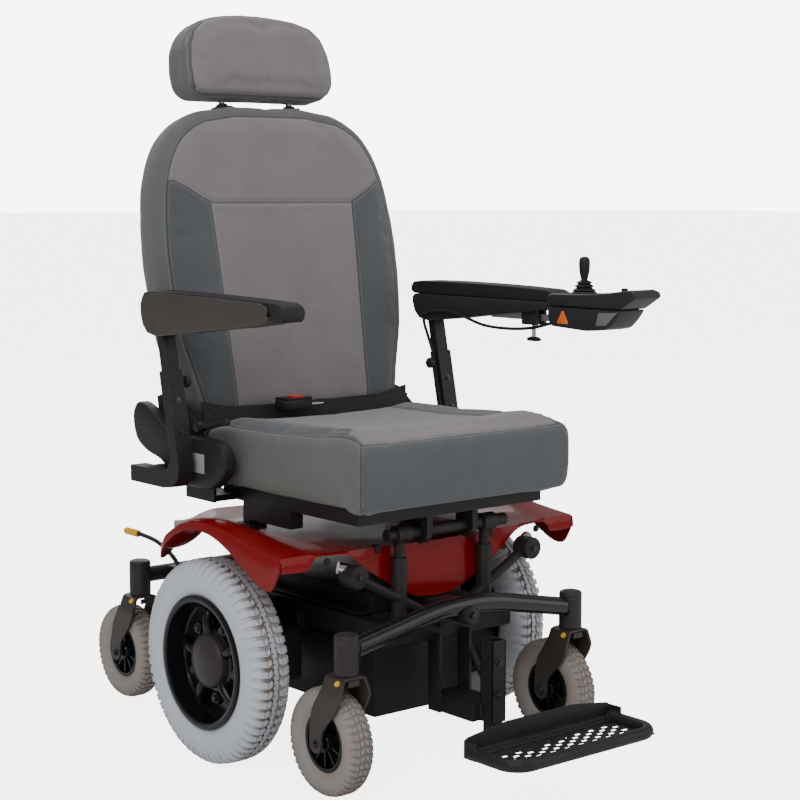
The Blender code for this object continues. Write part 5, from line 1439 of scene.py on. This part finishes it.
def make_headrest():
    """Sewn headrest pad and the guides of its posts."""
    through = BACK_FRONT + 0.052
    base = BACK_TOP + 0.012
    half = [(0.14, 0.0), (0.156, 0.006), (0.165, 0.024), (0.168, 0.058), (0.164, 0.098),
            (0.15, 0.13),
            (0.124, 0.152), (0.085, 0.163), (0.04, 0.168)]
    outline = [(u, base + v) for u, v in half] + [(-u, base + v) for u, v in reversed(half)]
    shrink = 0.0025
    inner = [(u - math.copysign(shrink, u), v + (shrink if v < base + 0.04 else -shrink)) for u,
             v in outline]
    bm = bmesh.new()
    add_plate(bm, inner, through - 0.044, through + 0.044, "Y", 0.02, 5, BACK_TILT)
    mesh = stuff(bm, "headrest", 0.0045, 0.0075)
    local = to_back(read_points(mesh))
    fit_between(local, 0, -0.1675, 0.1675)
    fit_between(local, 1, through - 0.0495, through + 0.0495)
    fit_between(local, 2, base + 0.0005, base + 0.1675)
    write_points(mesh, move_points(local, BACK_TILT))
    depth = local[:, 1] - (through - 0.05)
    edge = outline_distance(local[:, (0, 2)], outline)
    side = np.maximum(0.0065 - edge, depth - 0.026)
    one = np.ones(len(side))
    sew(mesh, {"side": side, "light": one, "yoke": one}, 0.003)
    piece = finish_mesh(mesh, "headrest_upholstery", "headrest", CLOTH, 180, "headrest_pad")
    bm = bmesh.new()
    for sign in (-1, 1):
        at = Vector((sign * 0.077, through, base - 0.0125))
        add_box(bm, at - Vector((0.017, 0.014, 0.002)), at + Vector((0.017, 0.014, 0.0045)), 0.002,
                BACK_TILT)
        add_turned(bm, [(0.0066, 0.004), (0.011, 0.004), (0.011, 0.0075), (0.0095, 0.009),
                        (0.0066, 0.009)],
                   BACK_TILT @ at, BACK_TILT.to_3x3() @ Vector((0, 0, 1)), 28, closed=True)
    finish(bm, "headrest_guides", "backrest", MOULD_BLACK, 32)


def make_skirt():
    """Cloth that closes the gap between the seat and the back."""
    bm = bmesh.new()
    half, rows = 0.236, 8
    low, high = Vector((0, SEAT_HIGH.y + 0.008, 0.546)), Vector((0, SEAT_HIGH.y + 0.01, 0.602))
    grid = bmesh.ops.create_grid(bm, x_segments=64, y_segments=rows, size=1.0)["verts"]
    for vert in grid:
        u, share = vert.co.x, (vert.co.y + 1) / 2
        ears = 0.01 * max(0.0, abs(u) - 0.75) / 0.25 - 0.006 * (1 - u * u)
        ripple = 0.0012 * math.sin(u * 17) * share
        vert.co = Vector((u * half, low.y + (high.y - low.y) * share + ripple,
                          low.z + (high.z - low.z + ears) * share))
    thicken(bm, 0.0011)
    piece = finish(bm, "gap_skirt", None, SKIRT, 60)
    tuple(high)
    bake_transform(piece)


def make_belt():
    """Lap belt lying over the back of the seat, with its buckle and tongue."""
    low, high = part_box("seat_belt")
    y = (low.y + high.y) / 2
    bm = bmesh.new()
    grid = bmesh.ops.create_grid(bm, x_segments=90, y_segments=6, size=1.0)["verts"]
    for vert in grid:
        u, share = vert.co.x, (vert.co.y + 1) / 2
        sag = 0.004 * math.sin(u * 6.5) * share + 0.002 * math.sin(u * 15 + 1)
        vert.co = Vector((u * (high.x - 0.003), y + 0.0008 * math.sin(u * 11),
                          low.z + 0.004 + (high.z - low.z - 0.012) * share + sag))
    thicken(bm, 0.0018)
    finish(bm, "lap_webbing", "seat", WEBBING, 60, "seat_belt")
    low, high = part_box("belt_buckle")
    bm = bmesh.new()
    outline = [(low.x + 0.008, low.y), (high.x - 0.01, low.y + 0.002), (high.x, low.y + 0.01),
               (high.x, high.y - 0.006),
               (high.x - 0.01, high.y - 0.001), (low.x + 0.008, high.y), (low.x, high.y - 0.008),
               (low.x, low.y + 0.008)]
    add_plate(bm, outline, low.z, high.z - 0.005, "Z", 0.003, 3)
    button_low, button_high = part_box("buckle_button")
    wall = 0.0022
    for a, b in (((low.x + 0.004, low.y + 0.003), (high.x - 0.005, button_low.y - 0.0006)),
                 ((low.x + 0.004, button_high.y + 0.0006), (high.x - 0.005, high.y - 0.003)),
                 ((low.x + 0.004, low.y + 0.004), (button_low.x - 0.0006, high.y - 0.004)),
                 ((button_high.x + 0.0006, low.y + 0.004), (high.x - 0.005, high.y - 0.004))):
        add_box(bm, (*a, high.z - 0.0052), (*b, high.z - 0.0052 + wall * 2), 0.0012)
    tongue = high.x - 0.004
    add_box(bm, (tongue, low.y + 0.01, low.z + 0.006),
            (tongue + 0.03, high.y - 0.008, low.z + 0.0085), 0.0008, index=1)
    finish(bm, "buckle_shell", "seat", [MOULD_BLACK, STEEL], 32, "belt_buckle")


# ---- arms ----------------------------------------------------------------------------
def make_arm(side, sign):
    """Moulded lower shell with a taller outer cheek, and the padded top."""
    x = sign * ARM_X
    y, z = ARM_PIVOT.y, ARM_PIVOT.z
    half = extent("arm_shell_left").x / 2
    split = z + 0.0405
    lower = [(y + 0.02, z - 0.0068), (y - 0.006, z - 0.0112), (y - 0.09, z - 0.003),
             (y - 0.175, z + 0.0078),
             (y - 0.25, z + 0.0155), (y - 0.325, z + 0.0253), (y - 0.338, z + 0.0315),
             (y - 0.34, z + 0.038), (y - 0.337, split),
             (y + 0.034, split), (y + 0.041, z + 0.034), (y + 0.0405, z + 0.024),
             (y + 0.034, z + 0.006)]
    bm = bmesh.new()
    cut_half = 0.0136
    for low_x, high_x in ((x - half + 0.0006, x - cut_half), (x + cut_half, x + half - 0.0006)):
        add_plate(bm, lower, low_x, high_x, "X", 0.0026, 3)
    middle_part = [(y - 0.034, z + 0.002)] + lower[3:9] + [(y + 0.03, split), (y + 0.038, z + 0.03),
                                                           (y + 0.03, z + 0.0245),
                                                           (y - 0.034, z + 0.0245)]
    if sign > 0:
        middle_part = [(y - 0.034, z + 0.017), (y - 0.325, z + 0.027), (y - 0.338, z + 0.033),
                       (y - 0.337, split),
                       (y + 0.03, split), (y + 0.038, z + 0.03), (y + 0.03, z + 0.0245),
                       (y - 0.034, z + 0.0245)]
    add_plate(bm, middle_part, x - cut_half - 0.001, x + cut_half + 0.001, "X")
    cheek_top = split + 0.0235
    cheek = [(y - 0.334, z + 0.03), (y - 0.342, z + 0.05), (y - 0.338, split + 0.0145),
             (y - 0.318, split + 0.0195), (y - 0.2, cheek_top - 0.001),
             (y - 0.08, cheek_top), (y + 0.01, cheek_top - 0.001), (y + 0.034, split + 0.016),
             (y + 0.0405, split + 0.003), (y + 0.039, z + 0.026),
             (y + 0.03, z + 0.006), (y + 0.018, z - 0.005), (y - 0.006, z - 0.01),
             (y - 0.175, z + 0.009), (y - 0.318, z + 0.0255)]
    if sign < 0:
        outer, inner = x - half + 0.0002, x - half + 0.0042
        add_plate(bm, cheek, outer, inner, "X", 0.0016, 3)
    dimple = Vector((x + sign * (half - 0.001), y - 0.002, z + 0.002))
    ring = [(0.0072, 0.0), (0.0085, 0.0), (0.0085, 0.0012), (0.0072, 0.0012)]
    add_turned(bm, ring, dimple, (sign, 0, 0), 28, closed=True)
    add_rod(bm, dimple - Vector((sign * 0.002, 0, 0)), dimple + Vector((sign * 0.0005, 0, 0)),
            0.0062, 20, index=1)
    if sign > 0:
        for low_x, high_x in ((x - 0.014, x - 0.0066), (x + 0.0066, x + 0.014)):
            add_box(bm, (low_x, -0.135, z - 0.005), (high_x, -0.095, z + 0.024), 0.002)
    # the near arm's shell takes the lit copy of black moulding, with warm light painted in; the far
    # arm's shell stays plain black
    finish(bm, "arm_moulding_" + side, "arm_" + side,
           [MOULD_BLACK_PAINTED_LIT if sign < 0 else POD_BLACK, BOLT_BLACK], 32, "arm_shell_" + side)
    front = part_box("arm_pad_" + side)[0].y
    bottom = split - 0.01
    bm = bmesh.new()
    pad = [(y + 0.036, split + 0.0006), (y + 0.045, split + 0.005), (y + 0.046, split + 0.014),
           (y + 0.038, split + 0.0235), (y + 0.01, split + 0.026),
           (y - 0.08, split + 0.0268), (y - 0.18, split + 0.0258), (y - 0.26, split + 0.024),
           (front + 0.02, split + 0.021), (front + 0.006, split + 0.016),
           (front, split + 0.007), (front + 0.001, split - 0.0035), (front + 0.009, bottom)]
    if front + 0.01 < y - 0.342:
        pad += [(y - 0.3412, bottom), (y - 0.3412, split + 0.0006)]
    else:
        pad = pad[:-2] + [(front, split + 0.0006)]
    shift = 0.0022 if sign < 0 else 0.0
    add_plate(bm, pad, x - half + 0.0012 + 2 * shift, x + half - 0.0012, "X", 0.0095, 5)
    finish(bm, "arm_cushion_" + side, "arm_" + side, PAD_SKIN, 55, "arm_pad_" + side)


def make_sleeve_details(side, sign):
    """Lock knob, pin and screws on the arm's height sleeve."""
    x = sign * ARM_X
    head = Vector((x, SLEEVE_HEAD.y, SLEEVE_HEAD.z))
    up = Vector((0, math.sin(ARM_RAKE), math.cos(ARM_RAKE)))
    bm = bmesh.new()
    inner = Vector((-sign, 0, 0))
    knob = head - up * 0.022 + inner * 0.0158
    add_rod(bm, knob, knob + inner * 0.01, 0.0045, 20, index=1)
    add_turned(bm, [(0, 0.008), (0.009, 0.008), (0.0105, 0.0095), (0.0105, 0.016), (0.0085, 0.0185),
                    (0, 0.019)], knob, inner, 32)
    front = Vector((0, -math.cos(ARM_RAKE), math.sin(ARM_RAKE)))
    for down in (0.055, 0.11):
        at = head - up * down + front * 0.0118
        add_bolt(bm, at, front, 0.004, index=1)
    finish(bm, "height_lock_" + side, "arm_mount_" + side, [MOULD_BLACK, BOLT_BLACK], 32)


# ---- joystick ------------------------------------------------------------------------
def make_joystick():
    """Control pod with its collar, lamps and reflector, then the stick and bellows."""
    gimbal = joint_place("stick_fore")
    low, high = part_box("joystick_housing")
    rear = high.y
    z = ARM_PIVOT.z
    top = z + 0.058
    split = z + 0.036
    x0, x1 = low.x + 0.0004, high.x - 0.0004
    button = middle("power_button")
    bm = bmesh.new()
    upper = [(rear - 0.0004, split), (rear - 0.0004, top - 0.01), (rear - 0.004, top - 0.0025),
             (rear - 0.012, top), (rear - 0.03, top - 0.0004),
             (gimbal.y + 0.024, top), (gimbal.y - 0.024, top + 0.0015),
             (button.y + 0.02, top + 0.005),
             (low.y + 0.018, top + 0.0125), (low.y + 0.006, top + 0.0095),
             (low.y + 0.0006, top + 0.003), (low.y + 0.004, z + 0.056),
             (rear - 0.19, split + 0.006), (rear - 0.18, split)]
    add_plate(bm, upper, x0, x1, "X", 0.0062, 5)
    belly = [(rear - 0.0008, split - 0.0008), (rear - 0.001, z + 0.022), (rear - 0.006, z + 0.0005),
             (rear - 0.016, z - 0.0012), (rear - 0.094, z - 0.0052),
             (rear - 0.128, z - 0.0025), (rear - 0.15, z + 0.0015), (rear - 0.168, z + 0.018),
             (rear - 0.182, split - 0.0008)]
    add_plate(bm, belly, x0 + 0.001, x1 - 0.001, "X", 0.0055, 4)
    shade = [(rear - 0.12, z + 0.004), (rear - 0.148, z + 0.006), (rear - 0.176, z + 0.032),
             (rear - 0.128, z + 0.03)]
    add_plate(bm, shade, x0 + 0.0008, x1 - 0.0008, "X", 0.002, 2, index=1)
    collar = [(0.0232, 0), (0.0232, 0.0035), (0.0215, 0.006), (0.018, 0.0068), (0.0165, 0.006),
              (0.0165, 0)]
    add_turned(bm, collar, (gimbal.x, gimbal.y, top - 0.002), (0, 0, 1), 48, closed=True)
    for k in range(4):
        at = Vector((gimbal.x - 0.018 + 0.012 * k, button.y + 0.024, top + 0.004))
        add_ball(bm, at, 0.0036, (1, 1, 0.45), 2)
    inner = x0 - 0.0004
    mark_y, mark_z = rear - 0.042, z + 0.017
    mark = [(mark_y + 0.015, mark_z - 0.012), (mark_y - 0.015, mark_z - 0.012),
            (mark_y, mark_z + 0.0135)]
    rounded = []
    for k, corner in enumerate(mark):
        for other in (mark[k - 1], mark[(k + 1) % 3]):
            rounded.append(tuple(c + (o - c) * 0.1 for c, o in zip(corner, other)))
    add_plate(bm, rounded, inner - 0.0004, inner + 0.003, "X", 0.0006, 2, index=3)
    finish(bm, "joystick_pod", "joystick", [POD_BLACK, POD_GREY, MOULD_BLACK, ORANGE], 32,
           "joystick_housing")
    bm = bmesh.new()
    start = top + 0.0035 - gimbal.z
    bellows = [(0.0165, start), (0.0205, start + 0.0022), (0.0207, start + 0.0034),
               (0.0165, start + 0.006),
               (0.0135, start + 0.0074), (0.0172, start + 0.0096), (0.0174, start + 0.0108),
               (0.0138, start + 0.013),
               (0.011, start + 0.0142), (0.014, start + 0.0162), (0.0141, start + 0.0172),
               (0.01, start + 0.0194),
               (0.0066, start + 0.0208)]
    knob = [(0.006, start + 0.021), (0.0068, start + 0.026), (0.0086, start + 0.033),
            (0.0098, start + 0.043), (0.01, start + 0.052)]
    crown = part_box("joystick_stick")[1].z - gimbal.z
    knob += [(0.0094, crown - 0.0052), (0.0074, crown - 0.0018), (0.004, crown - 0.0002),
             (0, crown)]
    add_turned(bm, [(0, start - 0.003), (0.013, start - 0.003)] + bellows + knob, gimbal, (0, 0, 1),
               40)
    finish(bm, "joystick_knob", "stick_fore", MOULD_BLACK, 38, "joystick_stick")


def make_clamp_knob():
    """Wing screw that holds the joystick bar."""
    low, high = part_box("clamp_knob")
    at = (low + high) / 2
    bm = bmesh.new()
    add_rod(bm, (at.x, at.y, low.z + 0.008), (at.x, at.y, high.z - 0.0003), 0.004, 20, index=1)
    wing = [(at.y - 0.0155, low.z + 0.001), (at.y - 0.006, low.z + 0.0002),
            (at.y + 0.006, low.z + 0.0002), (at.y + 0.0155, low.z + 0.001),
            (at.y + 0.0158, low.z + 0.006), (at.y + 0.007, low.z + 0.0088),
            (at.y - 0.007, low.z + 0.0088), (at.y - 0.0158, low.z + 0.006)]
    add_plate(bm, wing, low.x + 0.0004, high.x - 0.0004, "X", 0.0018, 3)
    finish(bm, "wing_screw", "clamp_knob", [MOULD_BLACK, STEEL], 32, "clamp_knob")


def make_leads():
    """The joystick's lead: under the arm to its pivot, then down beside the sleeve."""
    y, z = ARM_PIVOT.y, ARM_PIVOT.z
    pod_x = middle("joystick_housing").x
    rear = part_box("joystick_housing")[1].y
    inboard = ARM_X - 0.031
    beside = ARM_X - 0.0205
    gap = 0.0003
    under = [(pod_x + 0.002, rear + 0.001, z + 0.006), (pod_x, rear + 0.022, z + 0.001),
             (pod_x - 0.01, rear + 0.062, z - 0.009),
             (inboard, rear + 0.12, z - 0.013), (inboard, -0.01, z - 0.01),
             (inboard, 0.05, z + 0.004), (inboard, 0.1, z + 0.011),
             (inboard, 0.14, z + 0.008), (inboard, y - gap, z)]

    def sleeve(distance, across):
        """A point beside the raked height sleeve, as (y, z)."""
        c, s = math.cos(ARM_RAKE), math.sin(ARM_RAKE)
        return (SLEEVE_HEAD.y + distance * s + across * c,
                SLEEVE_HEAD.z + distance * c - across * s)

    low_y, low_z = sleeve(-0.14, -0.004)
    down = [(inboard, y - 0.0005, z - 0.0036), (inboard, y - 0.005, z - 0.02),
            (beside - 0.006, y - 0.012, z - 0.046),
            (beside, *sleeve(-0.01, -0.002)), (beside, *sleeve(-0.075, -0.003)),
            (beside, low_y, low_z),
            (beside, low_y + 0.012, low_z - 0.03), (beside, low_y + 0.045, low_z - 0.052)]
    radius = 0.003
    for name, knots, body, node in (("joystick_lead", under, "arm_right", "joystick_cable"),
                                    ("sleeve_lead", down, "arm_post_right", "post_cable")):
        route = smooth_route(knots, 6)
        bm = bmesh.new()
        add_route(bm, route, radius, 14)
        lead = finish(bm, name, body, JACKET, 60, node)
        length = sum((b - a).length for a, b in zip(route, route[1:]))
        tuple(route[0])
        [tuple(p) for p in route]


# ---- seat hardware -------------------------------------------------------------------
def make_side_cover(side, sign):
    """Moulded cover of the recliner, with a blank plate."""
    z = TILT.z
    y0 = AXLE.y
    low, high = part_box("side_cover_" + side)
    outline = [(-0.017, 0.095), (-0.016, 0.117), (-0.003, 0.135), (0.03, 0.144), (0.12, 0.1445),
               (0.17, 0.1495), (0.215, 0.1755),
               (0.25, 0.1895), (0.27, 0.1875), (0.282, 0.163), (0.271, 0.124), (0.236, 0.103),
               (0.19, 0.0915),
               (0.12, 0.0585), (0.04, 0.0565), (0.006, 0.071)]
    placed = [(y + y0, z + h) for y, h in smooth_outline(outline, 3)]
    bm = bmesh.new()
    add_plate(bm, placed, low.x, high.x, "X", 0.006, 4)
    face = high.x if sign > 0 else low.x
    at = Vector((face, y0 + 0.078, z + 0.1))
    inner, outer = sorted((face - sign * 0.003, face + sign * 0.0006))
    add_box(bm, (inner, at.y - 0.033, at.z - 0.017), (outer, at.y + 0.033, at.z + 0.017), 0.0005,
            index=1)
    add_bolt(bm, (face, y0 + 0.135, z + 0.112), (sign, 0, 0), 0.0048, index=2)
    finish(bm, "recliner_cover_" + side, "seat", [MOULD_BLACK, PLATE_GREY, BOLT_BLACK], 32,
           "side_cover_" + side)


def make_recline_lever():
    """Tapered lever with a round end."""
    at = joint_place("recline_lever")
    bm = bmesh.new()
    end = at + Vector((0, -0.085, 0.016))
    knots = [at, at + Vector((0, -0.03, 0.004)), at + Vector((0, -0.06, 0.0115)), end]
    add_route(bm, smooth_route(knots, 5), [0.0046 + 0.00009 * k for k in range(16)], 18)
    add_ball(bm, end, 0.0063)
    add_rod(bm, at - Vector((0.0078, 0, 0)), at + Vector((0.0078, 0, 0)), 0.0098, 28, edge=0.001)
    finish(bm, "recline_handle", "recline_lever", MOULD_BLACK, 40, "recline_lever")


def make_uprights():
    """Perforated rear posts that set the seat's height."""
    low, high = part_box("seat_riser_rear")
    y = (low.y + high.y) / 2
    side = 0.0108
    wall = 0.0024
    bm = bmesh.new()
    for sign in (-1, 1):
        x = sign * POST_X
        for turn_count in range(4):
            turn = Matrix.Translation((x, y, 0)) @ Matrix.Rotation(turn_count * math.pi / 2, 4, "Z")
            add_box(bm, (-side, side - wall, low.z), (side, side, high.z - 0.0005), 0.0005, turn, 1)
        top = DECK_Z - 0.04
        for k in range(3):
            for way in (-1, 1):
                spot = Vector((x, y + way * side, top + 0.018 + 0.022 * k))
                add_rod(bm, spot - Vector((0, way * 0.0004, 0)),
                        spot + Vector((0, way * 0.0004, 0)), 0.0042, 18, index=1)
    finish(bm, "perforated_posts", "seat_riser", [FRAME_BLACK, JACKET], 32, "seat_riser_rear")


# ---- the whole chair -----------------------------------------------------------------
PLAIN_NODES = {
    "power_module": MOULD_BLACK, "joystick_bar": STEEL, "joystick_gimbal": MOULD_BLACK,
    "battery_front": MOULD_BLACK, "battery_rear": MOULD_BLACK, "buckle_button": BUTTON_RED,
    "power_button": MOULD_BLACK, "arm_mount": FRAME_BLACK, "arm_post": FRAME_BLACK,
    "seat_riser": FRAME_BLACK, "seat_frame": FRAME_BLACK, "headrest_posts": STEEL,
    "backrest_frame": PAD_SKIN,
}


def dress_frame():
    """Finishes for the frame's own nodes that stay in sight."""
    for name, node in frame["nodes"].items():
        finishes = [m for key, m in PLAIN_NODES.items() if name.startswith(key)]
        if finishes:
            node.data.materials.clear()
            node.data.materials.append(finishes[0])


dress_frame()
for side, sign in SIDES:
    make_drive_tyre(side, sign)
    make_drive_rim(side, sign)
    make_motor(side, sign)
    make_freewheel_lever(side)
    for end in ("front", "rear"):
        make_caster(end + "_" + side)
make_front_beam()
make_rear_carrier()
make_chassis()
make_battery_box()
make_footrest()
make_shroud()
make_back_cushion()
make_seat()
make_headrest()
make_skirt()
make_belt()
for side, sign in SIDES:
    make_arm(side, sign)
    make_sleeve_details(side, sign)
    make_side_cover(side, sign)
make_recline_lever()
make_uprights()
make_joystick()
make_clamp_knob()
make_leads()
